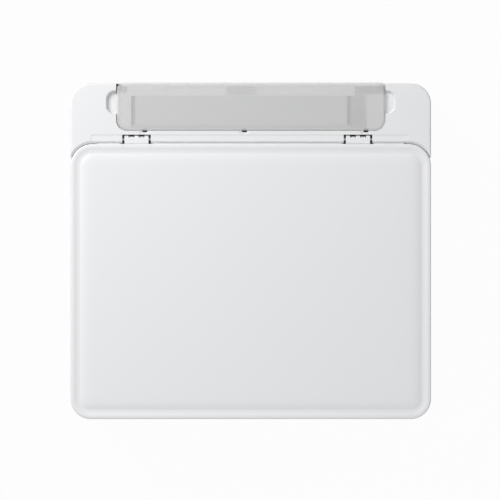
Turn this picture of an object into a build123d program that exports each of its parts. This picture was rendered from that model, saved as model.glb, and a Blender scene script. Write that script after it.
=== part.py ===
from build123d import *
import math
import os

# Inkjet multifunction printer seen from above: a flat document cover over a scanner unit,
# a rear deck with a see-through rear tray cover, a paper cassette and output tray in front.
# Millimetres. X runs to the right, the front faces -Y, Z is up, the floor is Z = 0 and the
# origin is under the middle of the printer's outer box.

# Overall sizes
body_width = 376.0
body_depth = 350.0
body_height = 143.0
corner_radius = 21.0
tray_cover_overhang = 1.0
wall = 2.5
seam = 0.6
running_fit = 0.06
slide_gap = 0.4

# Heights of the stacked mouldings
foot_height = 2.5
floor_thickness = 2.5
bottom_case_height = 23.5
main_case_height = 71.0
scanner_height = 30.0
deck_below_top = 3.0
deck_thickness = 3.0

# Document cover
cover_rear_radius = 23.0
cover_rim_above_deck = 2.2
cover_rim_width = 4.3
cover_groove_width = 5.0
cover_groove_depth = 0.9
cover_roll_width = 10.0
cover_edge_radius = 1.5
cover_skin = 2.5
liner_thickness = 2.0
pad_thickness = 2.0
deck_gap = 0.5
rear_deck_depth = 62.7

# Hinges of the document cover and the scanner unit, which share one axis
hinge_left_x = -119.2
hinge_right_x = 111.9
notch_width = 29.7
notch_depth = 9.2
hinge_axis_behind_cover = 5.0
hinge_axis_below_deck = 4.5
hinge_pin_radius = 1.6
knuckle_radius = 4.3
knuckle_skin = 1.0
knuckle_width = 4.4
knuckle_shell_end = 68.0
tongue_gap = 2.25
tongue_plate = 3.8
tongue_reach = 14.0
unit_knuckle_radius = 3.0
unit_knuckle_width = 4.8
unit_arm_thickness = 3.2
pocket_wall = 3.6
pocket_depth = 22.5

# Rear deck details
deck_edge_radius = 1.8
deck_bevel_width = 2.5
deck_bevel_height = 2.6
lid_clearance_recess_depth = 0.3
lid_clearance_recess_reach = 8.9
lid_clearance_recess_width = 332.0
scoop_width = 11.0
scoop_length = 25.0
scoop_depth = 4.5
scoop_radius = 9.0
scoop_center_from_rear = 19.8
snap_slot_xs = (-110.6, -6.7, 120.2)
snap_hook_xs = (120.2,)
snap_scoop_width = 11.5
snap_scoop_depth = 1.2
snap_slot_width = 5.0
snap_slot_length = 2.6
snap_slot_front = 1.8

# Rear tray cover and what lies under it
tray_cover_width = 280.0
tray_cover_depth = 50.1
tray_cover_thickness = 3.0
tray_cover_front_radius = 11.0
tray_cover_rear_radius = 4.0
tray_cover_gap = 0.5
tray_seat_thickness = 3.2
tray_hinge_from_rear = 4.0
tray_hinge_below_deck = 6.0
tray_hinge_pin_radius = 1.5
tray_hinge_pin_length = 5.0
tray_hinge_clear_radius = 7.0
tray_skirt_drop = 8.5
well_left_x = -137.0
well_right_x = 121.0
well_front_gap = 2.6
paper_center_x = -10.0
paper_width = 217.0
chute_slope = 60.0
chute_thickness = 2.5
chute_length = 72.0
chute_rib_count = 5
chute_rib_pitch = 45.0
support_thickness = 2.2
support_depth = 30.0
support_rail_width = 4.0
liner_bar_depth = 11.0
slot_flap_depth = 20.0
slot_flap_thickness = 2.4
slot_flap_pin_radius = 1.2

# Paper guides with racks on a pinion
rack_module = 1.5
pinion_teeth = 12
rack_backlash = 0.45
rack_thickness = 1.8
rack_body = 3.0
guide_wall = 2.4
guide_travel = 50.0
rear_guide_row = 46.0
cassette_guide_row = -20.0
rear_guide_height = 8.0
rear_guide_length = 30.0
cassette_guide_height = 14.0
cassette_guide_length = 90.0

# Front openings, cassette and output tray
channel_half_width = 121.0
output_slot_top = 59.0
shelf_thickness = 2.5
shelf_rear_y = 36.0
cassette_length = 307.0
cassette_floor_gap = 0.8
cassette_floor = 1.8
cassette_wall = 2.0
cassette_wall_height = 20.0
cassette_front_height = 27.8
cassette_front_thickness = 4.2
output_tray_base = 36.2
output_tray_thickness = 3.0
output_tray_length = 178.0
output_tray_lip = 5.0
extension_length = 120.0
extension_half_width = 62.0
extension_thickness = 1.4

# Print mechanism
frame_x = 157.0
frame_thickness = 2.0
rail_y = 104.0
rail_thickness = 1.2
rail_bottom = 56.0
rail_top = 92.0
rail_hole_length = 18.0
rail_hole_width = 7.0
feed_axis_y = 104.0
feed_axis_z = 50.0
feed_shaft_radius = 4.0
eject_axis_y = 44.0
eject_axis_z = 50.0
eject_shaft_radius = 3.0
eject_ring_radius = 5.0
eject_ring_count = 6
pickup_tyre_radius = 12.0
pickup_shaft_radius = 3.0
pickup_tyre_width = 16.0
pickup_above_chute_foot = 8.0
gear_module = 1.25
feed_gear_teeth = 32
idler_gear_teeth = 16
motor_gear_teeth = 12
gear_width = 5.0
gear_backlash = 0.5
motor_radius = 9.5
motor_length = 22.0
belt_motor_length = 10.5
belt_axis_z = 87.0
belt_axis_x = 145.5
pulley_radius = 4.6
belt_thickness = 1.2
belt_width = 4.6
stub_radius = 1.5
platen_top = 47.5
platen_rib_count = 24
carriage_width = 86.0
carriage_front_y = 52.0
carriage_bottom = 50.5
carriage_park_x = 105.0
cartridge_width = 37.0
lever_pivot_z = 78.0
lever_top = 90.5

# Scanner
bezel_thickness = 3.0
glass_thickness = 2.5
glass_lip = 3.0
window_width = 302.0
window_depth = 219.0
window_center_y = -35.0
scanner_wall = 2.5
scan_rod_radius = 3.0
scan_rod_y = -45.0
scan_rod_height = 9.5
sensor_width = 17.0
sensor_rest_x = -140.0

# Operation panel and buttons
panel_half_width = 129.8
panel_recess_half_width = 130.5
panel_recess_depth = 15.5
panel_depth = 12.0
panel_bottom = 62.0
panel_back_rise = 1.4
panel_pivot_drop = 4.0
panel_face_setback = 0.8
panel_pin_radius = 1.8
panel_pin_length = 2.8
display_width = 60.0
display_height = 22.0
display_thickness = 1.5
button_gap = 0.3
button_depth = 4.0
button_travel = 0.8
button_z = 78.5
display_x = -30.0
button_places = {
    "power_button": (-112.0, 5.5),
    "menu_button": (-84.0, 4.5),
    "ok_button": (24.0, 6.5),
    "stop_button": (82.0, 5.0),
    "start_button": (106.0, 7.0),
}

# Rear access cover and sockets
rear_door_left_x = -115.0
rear_door_right_x = 95.0
rear_door_bottom = 34.0
rear_door_top = 100.0
rear_door_gap = 0.5
rear_door_pin_radius = 1.5
rear_door_low_chamfer = 1.4
rear_rib_count = 8
usb_x = 146.0
usb_z = 62.0
inlet_x = -150.0
inlet_z = 46.0

# Places worked out from the sizes above
half_width = body_width / 2
front_y = -(body_depth + tray_cover_overhang) / 2
rear_y = front_y + body_depth
middle_y = (front_y + rear_y) / 2
deck_z = body_height - deck_below_top
case_top = foot_height + bottom_case_height
main_top = case_top + main_case_height
scanner_base = main_top + seam
scanner_top = scanner_base + scanner_height
lid_base = scanner_top + seam
lid_rear_y = rear_y - rear_deck_depth - deck_gap
deck_front_y = lid_rear_y + deck_gap
hinge_y = lid_rear_y + hinge_axis_behind_cover
hinge_z = deck_z - hinge_axis_below_deck
floor_top = foot_height + floor_thickness
tray_cover_rear_y = rear_y + tray_cover_overhang
tray_cover_front_y = tray_cover_rear_y - tray_cover_depth
tray_hinge_y = rear_y - tray_hinge_from_rear
tray_hinge_z = deck_z - tray_hinge_below_deck
tray_seat_top = deck_z - tray_cover_thickness - slide_gap
well_front_y = tray_cover_front_y + well_front_gap
chute_top_y = tray_hinge_y - tray_hinge_clear_radius - 1.0
chute_top_z = tray_seat_top - tray_seat_thickness - 3.0
slot_flap_left_x = paper_center_x - paper_width / 2
slot_flap_right_x = paper_center_x + paper_width / 2
hinge_xs = (hinge_left_x, hinge_right_x)
shelf_z = output_slot_top
cassette_base = floor_top + cassette_floor_gap
panel_face_y = front_y + panel_face_setback
panel_pivot_y = front_y + panel_pivot_drop
panel_pivot_z = main_top - panel_pivot_drop
flap_hinge_y = well_front_y + 1.8
flap_hinge_z = tray_seat_top - tray_seat_thickness - 2.2
door_hinge_y = rear_y - 3.0
door_hinge_z = rear_door_bottom + 4.0
slope = math.radians(chute_slope)
chute_foot_y = chute_top_y - chute_length * math.cos(slope)
chute_foot_z = chute_top_z - chute_length * math.sin(slope)
pinion_radius = rack_module * pinion_teeth / 2
rack_pitch = math.pi * rack_module
lid_cavity_top = deck_z - cover_groove_depth - cover_skin
tongue_top = lid_cavity_top - 0.1
liner_top = lid_base + 0.2 + liner_thickness
bezel_base = scanner_top - bezel_thickness
glass_top = scanner_top - 1.5
scan_rod_z = scanner_base + scan_rod_height
cassette_floor_z = cassette_base + rack_thickness + cassette_floor + 2 * slide_gap
pickup_reach = pickup_tyre_radius + slide_gap
pickup_y = (chute_foot_y + pickup_above_chute_foot * math.cos(slope)
            - pickup_reach * math.sin(slope))
pickup_z = (chute_foot_z + pickup_above_chute_foot * math.sin(slope)
            + pickup_reach * math.cos(slope))
idler_y = feed_axis_y - gear_module * (feed_gear_teeth + idler_gear_teeth) / 2
motor_distance = gear_module * (feed_gear_teeth + motor_gear_teeth) / 2
motor_bearing = -45.0
motor_turn = motor_bearing + 90.0 - 180.0 / motor_gear_teeth
feed_motor_y = feed_axis_y + motor_distance * math.cos(math.radians(motor_bearing))
feed_motor_z = feed_axis_z + motor_distance * math.sin(math.radians(motor_bearing))
bay_xs = (carriage_park_x - 21.0, carriage_park_x + 21.0)
lever_half = cartridge_width / 2 - 3.0
lever_y = carriage_front_y - 0.5
frame_inner_x = frame_x - frame_thickness / 2
frame_outer_x = frame_x + frame_thickness / 2


def block(x0, x1, y0, y1, z0, z1):
    """A straight-sided block between two corners."""
    center = Pos((x0 + x1) / 2, (y0 + y1) / 2, (z0 + z1) / 2)
    return center * Box(x1 - x0, y1 - y0, z1 - z0)


def rod(x0, x1, y, z, radius):
    """A round bar along X."""
    return Pos((x0 + x1) / 2, y, z) * Rot(0, 90, 0) * Cylinder(radius, x1 - x0)


def rod_y(x, y0, y1, z, radius):
    """A round bar along Y."""
    return Pos(x, (y0 + y1) / 2, z) * Rot(90, 0, 0) * Cylinder(radius, y1 - y0)


def upright(x, y, z0, z1, radius):
    """A round bar along Z."""
    return Pos(x, y, (z0 + z1) / 2) * Cylinder(radius, z1 - z0)


def along_x(points, x0, x1):
    """A YZ outline, given as (y, z) points, drawn out from x0 to x1."""
    face = Plane.YZ * make_face(Polyline(*points, close=True))
    return Pos(x0, 0, 0) * extrude(face, x1 - x0)


def case_outline(inset=0.0):
    """The outline that every stacked moulding shares, seen from above."""
    return Pos(0, middle_y) * RectangleRounded(
        body_width - 2 * inset, body_depth - 2 * inset, max(corner_radius - inset, 1.0)
    )


def lid_outline(inset=0.0):
    """The outline of the document cover and the scanner unit, seen from above."""
    width = body_width - 2 * inset
    depth = lid_rear_y - front_y - 2 * inset
    sheet = Pos(0, (lid_rear_y + front_y) / 2) * Rectangle(width, depth)
    corners = sheet.vertices().sort_by(Axis.Y)
    sheet = fillet(corners[:2], max(corner_radius - inset, 1.0))
    corners = sheet.vertices().sort_by(Axis.Y)
    return fillet(corners[-2:], max(cover_rear_radius - inset, 1.0))


def raised(outline, z0, z1):
    """An outline drawn up from z0 to z1."""
    return Pos(0, 0, z0) * extrude(outline, z1 - z0)


def bottom_case():
    """The lower case: a tray with rounded bottom edges and a channel for the cassette."""
    shell = raised(case_outline(), foot_height, case_top)
    shell = fillet(shell.faces().sort_by(Axis.Z)[0].edges(), 4.0)
    shell -= raised(case_outline(wall), floor_top, case_top + 1)
    shell -= block(-channel_half_width, channel_half_width, front_y - 1,
                   front_y + 10, floor_top, case_top + 1)
    channel_rear = front_y + cassette_length + 2
    for side in (-1, 1):
        inner = side * channel_half_width
        outer = side * (channel_half_width + wall)
        shell += block(min(inner, outer), max(inner, outer), front_y + wall / 2,
                       channel_rear, floor_top - 0.5, case_top)
    for x in (-half_width + 14, half_width - 14):
        for y in (front_y + 30, middle_y, rear_y - 30):
            shell += Pos(x, y, floor_top + 6) * Cylinder(4.0, 13)
            shell -= Pos(x, y, floor_top + 8) * Cylinder(1.4, 12)
    return shell


def rubber_feet():
    """Four round feet, each with a peg that sits in the lower case."""
    foot = Cylinder(9.0, foot_height)
    foot = chamfer(foot.edges().group_by(Axis.Z)[0], 0.6)
    feet = []
    for x in (-half_width + 40, half_width - 40):
        for y in (front_y + 40, rear_y - 40):
            feet.append(Pos(x, y, foot_height / 2) * foot)
    return Compound(feet)


def main_case():
    """The ring-shaped middle case with its front opening, inner shelf and panel recess."""
    ring = raised(case_outline() - case_outline(wall), case_top, main_top)
    split_y = lid_rear_y - 13.8
    ring -= block(-half_width - 1, half_width + 1, split_y, rear_y + 1,
                  case_top - 1, main_top + 1)
    ring -= block(-channel_half_width, channel_half_width, front_y - 1,
                  front_y + 12, case_top - 1, shelf_z)
    shelf_outline = case_outline(wall / 2)
    shelf = raised(shelf_outline, shelf_z, shelf_z + shelf_thickness)
    shelf -= block(-half_width, half_width, shelf_rear_y, rear_y, 0, body_height)
    for side in (-1, 1):
        near = side * (frame_inner_x - 1)
        far = side * half_width
        shelf -= block(min(near, far), max(near, far), shelf_rear_y - 16, rear_y,
                       0, body_height)
    case = ring + shelf
    recess_back = front_y + panel_recess_depth
    recess_wide = panel_recess_half_width
    case += block(-recess_wide - 3, recess_wide + 3, recess_back, recess_back + wall,
                  shelf_z, main_top)
    for side in (-1, 1):
        near = side * recess_wide
        far = side * (recess_wide + 3)
        case += block(min(near, far), max(near, far), front_y + wall / 2,
                      recess_back + wall, shelf_z, main_top)
        inner = side * channel_half_width
        outer = side * (channel_half_width + wall)
        case += block(min(inner, outer), max(inner, outer), front_y + wall / 2,
                      shelf_rear_y, case_top, shelf_z + wall)
        ledge = side * (channel_half_width - 6)
        case += block(min(ledge, outer), max(ledge, outer), front_y + 6,
                      shelf_rear_y, output_tray_base - 2.5, output_tray_base - 0.3)
        for step in range(7):
            rib_y = front_y + 45 + 34 * step
            rib = side * (half_width - wall - 3)
            skin = side * (half_width - wall / 2)
            case += block(min(rib, skin), max(rib, skin), rib_y, rib_y + 1.4,
                          shelf_z + wall, main_top - 6)
    case -= block(-recess_wide, recess_wide, front_y - 1, recess_back,
                  shelf_z + shelf_thickness, main_top + 1)
    case -= rod(-recess_wide - 3, recess_wide + 3, panel_pivot_y, panel_pivot_z,
                panel_pin_radius + running_fit)
    return case


def hinge_pockets(widen=0.0):
    """The pockets in which the cover's hinge tongues turn, or the blocks round them."""
    pockets = []
    for x in hinge_xs:
        half = notch_width / 2 + widen
        low = deck_z - pocket_depth - widen
        top = deck_z + 1 if widen == 0 else deck_z - 1
        front = deck_front_y - 1 if widen == 0 else deck_front_y
        back = deck_front_y + notch_depth + min(widen, wall)
        pockets.append(block(x - half, x + half, front, back, low, top))
    return pockets


def side_scoop(side):
    """The D-shaped finger scoop beside the rear tray cover."""
    edge = side * (tray_cover_width / 2 - 2)
    outer = side * (tray_cover_width / 2 + scoop_width)
    y = rear_y - scoop_center_from_rear
    sheet = Pos((edge + outer) / 2, y) * Rectangle(abs(outer - edge), scoop_length)
    order = sheet.vertices().sort_by(Axis.X)
    far = order[-2:] if side > 0 else order[:2]
    sheet = fillet(far, scoop_radius)
    return Pos(0, 0, deck_z) * extrude(sheet, -scoop_depth, taper=20)


def tray_cover_outline(gap=0.0, rear_extra=0.0):
    """The rear tray cover's outline seen from above, grown by a gap on three sides."""
    width = tray_cover_width + 2 * gap
    y0 = tray_cover_front_y - gap
    y1 = tray_cover_rear_y + rear_extra
    sheet = Pos(0, (y0 + y1) / 2) * Rectangle(width, y1 - y0)
    front = sheet.vertices().sort_by(Axis.Y)[:2]
    sheet = fillet(front, tray_cover_front_radius + gap)
    if rear_extra > 0:
        return sheet
    return fillet(sheet.vertices().sort_by(Axis.Y)[-2:], tray_cover_rear_radius)


def rear_housing():
    """The rear moulding: deck, rear wall, hinge pockets and the seat of the tray cover."""
    split_y = lid_rear_y - 13.8
    half_space = Pos(0, split_y + 200) * Rectangle(2 * body_width, 400)
    outside = case_outline() & half_space
    lid_room = raised(lid_outline(-deck_gap), main_top, body_height + 1)
    body = raised(outside, case_top, deck_z)
    body = fillet(body.faces().sort_by(Axis.Z)[-1].edges(), deck_edge_radius)
    body -= lid_room
    body -= raised(case_outline(wall), case_top - 1, main_top)
    upper = case_outline(wall) - lid_outline(-deck_gap - wall)
    upper = upper & (Pos(0, deck_front_y + wall + 200) * Rectangle(2 * body_width, 400))
    body -= raised(upper, main_top - 1, deck_z - deck_thickness)
    for pocket in hinge_pockets(pocket_wall):
        body += pocket
    pad_x = tray_cover_width / 2
    y = rear_y - scoop_center_from_rear
    for side in (-1, 1):
        near = side * (pad_x - 0.5)
        far = side * (pad_x + scoop_width + 2.5)
        body += block(min(near, far), max(near, far), y - scoop_length / 2 - 2.5,
                      tray_hinge_y + 3, tray_hinge_z - 4.5, deck_z - 1)
    seat = raised(tray_cover_outline(3.0, -1.0), tray_seat_top - tray_seat_thickness,
                  deck_z - 1)
    body += seat & raised(case_outline(wall / 2), 0, body_height)
    body -= raised(tray_cover_outline(tray_cover_gap, 5.0), tray_seat_top, deck_z + 1)
    body -= block(well_left_x, well_right_x, well_front_y, tray_hinge_y, 100, deck_z + 1)
    trough = tray_cover_width / 2 + tray_cover_gap
    body -= block(-trough, trough, tray_hinge_y - tray_hinge_clear_radius,
                  rear_y + 5, tray_hinge_z - tray_hinge_clear_radius, deck_z + 1)
    for side in (-1, 1):
        body -= side_scoop(side)
        start = side * (trough - 1)
        end = side * (trough + tray_hinge_pin_length + 0.5)
        body -= rod(min(start, end), max(start, end), tray_hinge_y, tray_hinge_z,
                    tray_hinge_pin_radius + running_fit)
    for pocket in hinge_pockets():
        body -= pocket
    for x in hinge_xs:
        reach = notch_width / 2 + pocket_wall
        body -= rod(x - reach, x + reach, hinge_y, hinge_z, hinge_pin_radius + 0.02)
    recess = Pos(-1, deck_front_y + lid_clearance_recess_reach / 2) * SlotOverall(
        lid_clearance_recess_width, lid_clearance_recess_reach + 6)
    recess = recess & (Pos(0, deck_front_y + lid_clearance_recess_reach - 50)
                       * Rectangle(body_width, 100))
    body -= raised(recess, deck_z - lid_clearance_recess_depth, deck_z + 1)
    bevel_foot = Pos(0, 0, deck_z - deck_bevel_height) * lid_outline(-deck_gap)
    bevel_top = Pos(0, 0, deck_z) * lid_outline(-deck_gap - deck_bevel_width)
    body -= loft([bevel_foot, bevel_top])
    for x in snap_slot_xs:
        bowl = Pos(x, tray_cover_front_y) * Ellipse(snap_scoop_width / 2, 4.0)
        body -= raised(bowl, deck_z - snap_scoop_depth, deck_z + 1)
        body -= block(x - snap_slot_width / 2, x + snap_slot_width / 2,
                      tray_cover_front_y - snap_slot_front, tray_cover_front_y + snap_slot_length,
                      tray_seat_top - tray_seat_thickness - 1, deck_z + 1)
    for x in (rear_door_left_x - 2.9, rear_door_right_x + 2.9):
        body += block(x - 2.5, x + 2.5, rear_y - 6, rear_y - 1,
                      rear_door_bottom, rear_door_bottom + 8)
    body -= block(rear_door_left_x, rear_door_right_x, rear_y - 10, rear_y + 1,
                  rear_door_bottom, rear_door_top)
    for x in (rear_door_left_x, rear_door_right_x):
        body -= rod(x - 4, x + 4, door_hinge_y, door_hinge_z,
                    rear_door_pin_radius + running_fit)
    for x in (slot_flap_left_x - 2.7, slot_flap_right_x + 2.7):
        ear = block(x - 1.6, x + 1.6, well_front_y - 2, flap_hinge_y + 2.4,
                    flap_hinge_z - 2.4, flap_hinge_z + 1.7)
        ear += block(x - 1.6, x + 1.6, well_front_y - 2, well_front_y,
                     flap_hinge_z, tray_seat_top - 1)
        body += ear - rod(x - 2, x + 2, flap_hinge_y, flap_hinge_z,
                          slot_flap_pin_radius + running_fit)
    body -= block(usb_x - 6.2, usb_x + 6.2, rear_y - 5, rear_y + 1, usb_z - 6, usb_z + 6)
    body -= block(inlet_x - 11.2, inlet_x + 11.2, rear_y - 5, rear_y + 1,
                  inlet_z - 6.2, inlet_z + 6.2)
    return body


def hinge_pins():
    """Two steel pins in the rear housing that both hinges turn on."""
    reach = notch_width / 2 + pocket_wall
    return Compound([rod(x - reach, x + reach, hinge_y, hinge_z, hinge_pin_radius)
                     for x in hinge_xs])


def on_chute(shape):
    """Moves a shape made flat, with y up the slope, onto the rear tray's sloping plate."""
    return Pos(0, chute_foot_y, chute_foot_z) * Rot(chute_slope, 0, 0) * shape


def gear_face(module, teeth, backlash):
    """A spur gear's outline with straight flanks drawn between true involute points."""
    pitch_radius = module * teeth / 2
    pressure = math.radians(20)
    base_radius = pitch_radius * math.cos(pressure)
    tip_radius = pitch_radius + 0.8 * module
    root_radius = pitch_radius - module
    half = math.pi / (2 * teeth) - backlash / (4 * pitch_radius)
    spread = half + math.tan(pressure) - pressure
    tip_angle = math.acos(base_radius / tip_radius)
    tip_half = spread - (math.tan(tip_angle) - tip_angle)
    points = []
    for tooth in range(teeth):
        middle = math.pi / 2 + 2 * math.pi * tooth / teeth
        for radius, angle in ((root_radius, -spread), (tip_radius, -tip_half),
                              (tip_radius, tip_half), (root_radius, spread)):
            points.append((radius * math.cos(middle + angle),
                           radius * math.sin(middle + angle)))
    return make_face(Polyline(*points, close=True))


def rack_face(x0, x1, toothed_x0, toothed_x1, gap_x):
    """A toothed rack's outline: back at +y, teeth towards -y, with a gap over gap_x."""
    pressure = math.tan(math.radians(20))
    tip = -0.8 * rack_module
    root = rack_module
    half = rack_pitch / 4 - rack_backlash / 4
    points = [(x0, root + rack_body), (x0, root)]
    first = math.ceil((toothed_x0 - gap_x) / rack_pitch - 0.5)
    last = math.floor((toothed_x1 - gap_x) / rack_pitch - 0.5)
    for step in range(first, last + 1):
        middle = gap_x + (step + 0.5) * rack_pitch
        wide = half + root * pressure
        narrow = half + tip * pressure
        points += [(middle - wide, root), (middle - narrow, tip),
                   (middle + narrow, tip), (middle + wide, root)]
    points += [(x1, root), (x1, root + rack_body)]
    return make_face(Polyline(*points, close=True))


def guide_with_rack(center_x, rack_y, plate, height, length):
    """The left paper guide: its upright wall, the stem through the plate and its rack."""
    inner = center_x - paper_width / 2
    low = -plate - slide_gap - rack_thickness
    outline = rack_face(inner - guide_wall, center_x + 8, center_x - guide_travel - 8,
                        center_x + 8, center_x)
    rack = Pos(0, rack_y + pinion_radius, low) * extrude(outline, rack_thickness)
    stem_y = rack_y + pinion_radius + rack_module
    stem = block(inner - guide_wall, inner + 2, stem_y, stem_y + rack_body,
                 low + rack_thickness / 2, slide_gap + guide_wall)
    upright = block(inner - guide_wall, inner, rack_y - length / 2, rack_y + length / 2,
                    slide_gap, height)
    upright = fillet(upright.edges().filter_by(Axis.X).group_by(Axis.Z)[-1], height / 3)
    foot = block(inner - guide_wall - 5, inner, rack_y - length / 2 + 3,
                 rack_y + length / 2 - 3, slide_gap, slide_gap + guide_wall / 2)
    return rack + stem + upright + foot


def guide_turned(center_x, rack_y, plate, height, length):
    """The right paper guide: the left one turned half round about the pinion."""
    guide = guide_with_rack(center_x, rack_y, plate, height, length)
    return Pos(center_x, rack_y) * Rot(0, 0, 180) * Pos(-center_x, -rack_y) * guide


def guide_pinion(center_x, rack_y, plate):
    """The pinion between both racks, which keeps the paper centred."""
    low = -plate - slide_gap - rack_thickness
    gear = extrude(gear_face(rack_module, pinion_teeth, rack_backlash), rack_thickness)
    gear -= Cylinder(2.0 + running_fit, 20)
    return Pos(center_x, rack_y, low) * gear


def guide_openings(center_x, rack_y, plate):
    """The two slots in a tray's plate for the guides' stems."""
    inner = center_x - paper_width / 2
    stem_y = rack_y + pinion_radius + rack_module
    slot = block(inner - guide_wall - slide_gap, inner + 2 + guide_travel + slide_gap,
                 stem_y - slide_gap, stem_y + rack_body + slide_gap, -plate - 1, 1)
    turned = Pos(center_x, rack_y) * Rot(0, 0, 180) * Pos(-center_x, -rack_y) * slot
    return slot, turned


def pinion_stud(center_x, rack_y, plate):
    """The stud under a tray's plate that its pinion turns on."""
    length = slide_gap + rack_thickness + 1.2
    stud = Pos(center_x, rack_y, -plate - length / 2 + 0.1) * Cylinder(2.0, length + 0.2)
    return stud




def rear_tray():
    """The sloping chute under the tray cover, with side walls and hanging flanges."""
    x0 = well_left_x + slide_gap
    x1 = well_right_x - slide_gap
    plate = block(x0, x1, 0, chute_length, -chute_thickness, 0)
    for slot in guide_openings(paper_center_x, rear_guide_row, chute_thickness):
        plate -= slot
    plate += pinion_stud(paper_center_x, rear_guide_row, chute_thickness)
    for edge in (x0, x1 - 2.4):
        plate += block(edge, edge + 2.4, 0, chute_length, -chute_thickness, 7.5)
    for step in range(chute_rib_count):
        rib_x = paper_center_x + (step - (chute_rib_count - 1) / 2) * chute_rib_pitch
        plate += block(rib_x - 0.7, rib_x + 0.7, 2, rear_guide_row - 24, -0.2, 1.0)
    tray = on_chute(plate)
    top = tray_seat_top - tray_seat_thickness
    for edge in (x0 - 2.4, x1 - 2.4):
        tray += block(edge, edge + 4.8, chute_top_y - 20, chute_top_y, top - 2, top)
    return tray


def paper_guide_left():
    return on_chute(guide_with_rack(paper_center_x, rear_guide_row, chute_thickness,
                                    rear_guide_height, rear_guide_length))


def paper_guide_right():
    return on_chute(guide_turned(paper_center_x, rear_guide_row, chute_thickness,
                                 rear_guide_height, rear_guide_length))


def paper_guide_pinion():
    return on_chute(guide_pinion(paper_center_x, rear_guide_row, chute_thickness))


def rear_tray_cover():
    """The see-through cover: a thin plate with a rear skirt, support rails and end pins."""
    plate = raised(tray_cover_outline(), deck_z - tray_cover_thickness, deck_z)
    skirt = raised(tray_cover_outline(), deck_z - tray_skirt_drop, deck_z)
    skirt &= block(-body_width, body_width, tray_cover_rear_y - 2.0, rear_y + 50, 0, 200)
    cover = plate + skirt
    rear_edge = cover.edges().filter_by(Axis.X).group_by(Axis.Z)[-1].sort_by(Axis.Y)[-1]
    cover = fillet(rear_edge, 2.6)
    under = deck_z - tray_cover_thickness
    for side in (-1, 1):
        near = side * (tray_cover_width / 2 - 6)
        far = side * (tray_cover_width / 2 - 0.4)
        end = side * (tray_cover_width / 2 + tray_hinge_pin_length)
        cover += rod(min(near, far), max(near, far), tray_hinge_y, tray_hinge_z, 3.2)
        cover += block(min(near, far), max(near, far), tray_hinge_y - 3.2,
                       tray_hinge_y + 3.2, tray_hinge_z, under + 0.5)
        cover += rod(min(near, end), max(near, end), tray_hinge_y, tray_hinge_z,
                     tray_hinge_pin_radius)
        rail = paper_center_x + side * (paper_width / 2 + support_rail_width / 2 + 1)
        channel = block(rail - support_rail_width / 2 - 1, rail + support_rail_width / 2 + 1,
                        tray_cover_front_y + 6, tray_cover_front_y + 6 + support_depth,
                        under - support_thickness - 1.6, under + 0.5)
        lane = paper_width / 2 + 2.2
        channel -= block(paper_center_x - lane, paper_center_x + lane,
                         tray_cover_front_y, tray_cover_rear_y,
                         under - support_thickness - 0.7, under - 0.1)
        cover += channel
    for x in snap_hook_xs:
        cover += block(x - 1.8, x + 1.8, tray_cover_front_y + 0.4,
                       tray_cover_front_y + 1.6, under - 2.6, under + 0.5)
    return cover


def tray_cover_bar():
    """The white stiffening bar under the cover's rear edge, with two long recesses."""
    under = deck_z - tray_cover_thickness
    y = tray_hinge_y - 3.5
    width = 238.0
    center = Pos(paper_center_x - 0.2, y)
    bar = raised(center * RectangleRounded(width, liner_bar_depth, 1.5), under - 3.4, under)
    for x in (paper_center_x - 47.5, paper_center_x + 46.8):
        recess = Pos(x, y) * SlotOverall(63.0, 7.3)
        bar -= raised(recess, under - 1.6, under + 1)
    latch = Pos(paper_center_x, y) * RectangleRounded(30.0, 8.6, 1.2)
    return bar - raised(latch, under - 2.4, under + 1)


def paper_support():
    """The see-through sheet in the cover's rails, drawn out to hold tall paper."""
    under = deck_z - tray_cover_thickness
    wide = paper_width + 3.4
    y = tray_cover_front_y + 6 + support_depth / 2
    center = Pos(paper_center_x, y)
    sheet = center * RectangleRounded(wide, support_depth, 2.0)
    top = under - 0.35
    plate = raised(sheet, top - support_thickness + 0.3, top)
    grip = Pos(paper_center_x, y - support_depth / 2 + 5) * SlotOverall(34.0, 5.0)
    plate -= raised(grip, top - 0.8, top + 1)
    return plate


def feed_slot_cover():
    """The flap over the feed slot, with rounded corners and a barrel on two pins."""
    x0 = slot_flap_left_x + 0.3
    x1 = slot_flap_right_x - 0.3
    y1 = flap_hinge_y + slot_flap_depth
    sheet = Pos((x0 + x1) / 2, (flap_hinge_y + y1) / 2) * Rectangle(x1 - x0, slot_flap_depth)
    sheet = fillet(sheet.vertices().sort_by(Axis.Y)[-2:], 5.0)
    half = slot_flap_thickness / 2
    flap = raised(sheet, flap_hinge_z - half, flap_hinge_z + half)
    flap += rod(x0, x1, flap_hinge_y, flap_hinge_z, half + 0.5)
    flap += rod(x0 - 3.4, x1 + 3.4, flap_hinge_y, flap_hinge_z, slot_flap_pin_radius)
    return flap


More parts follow.
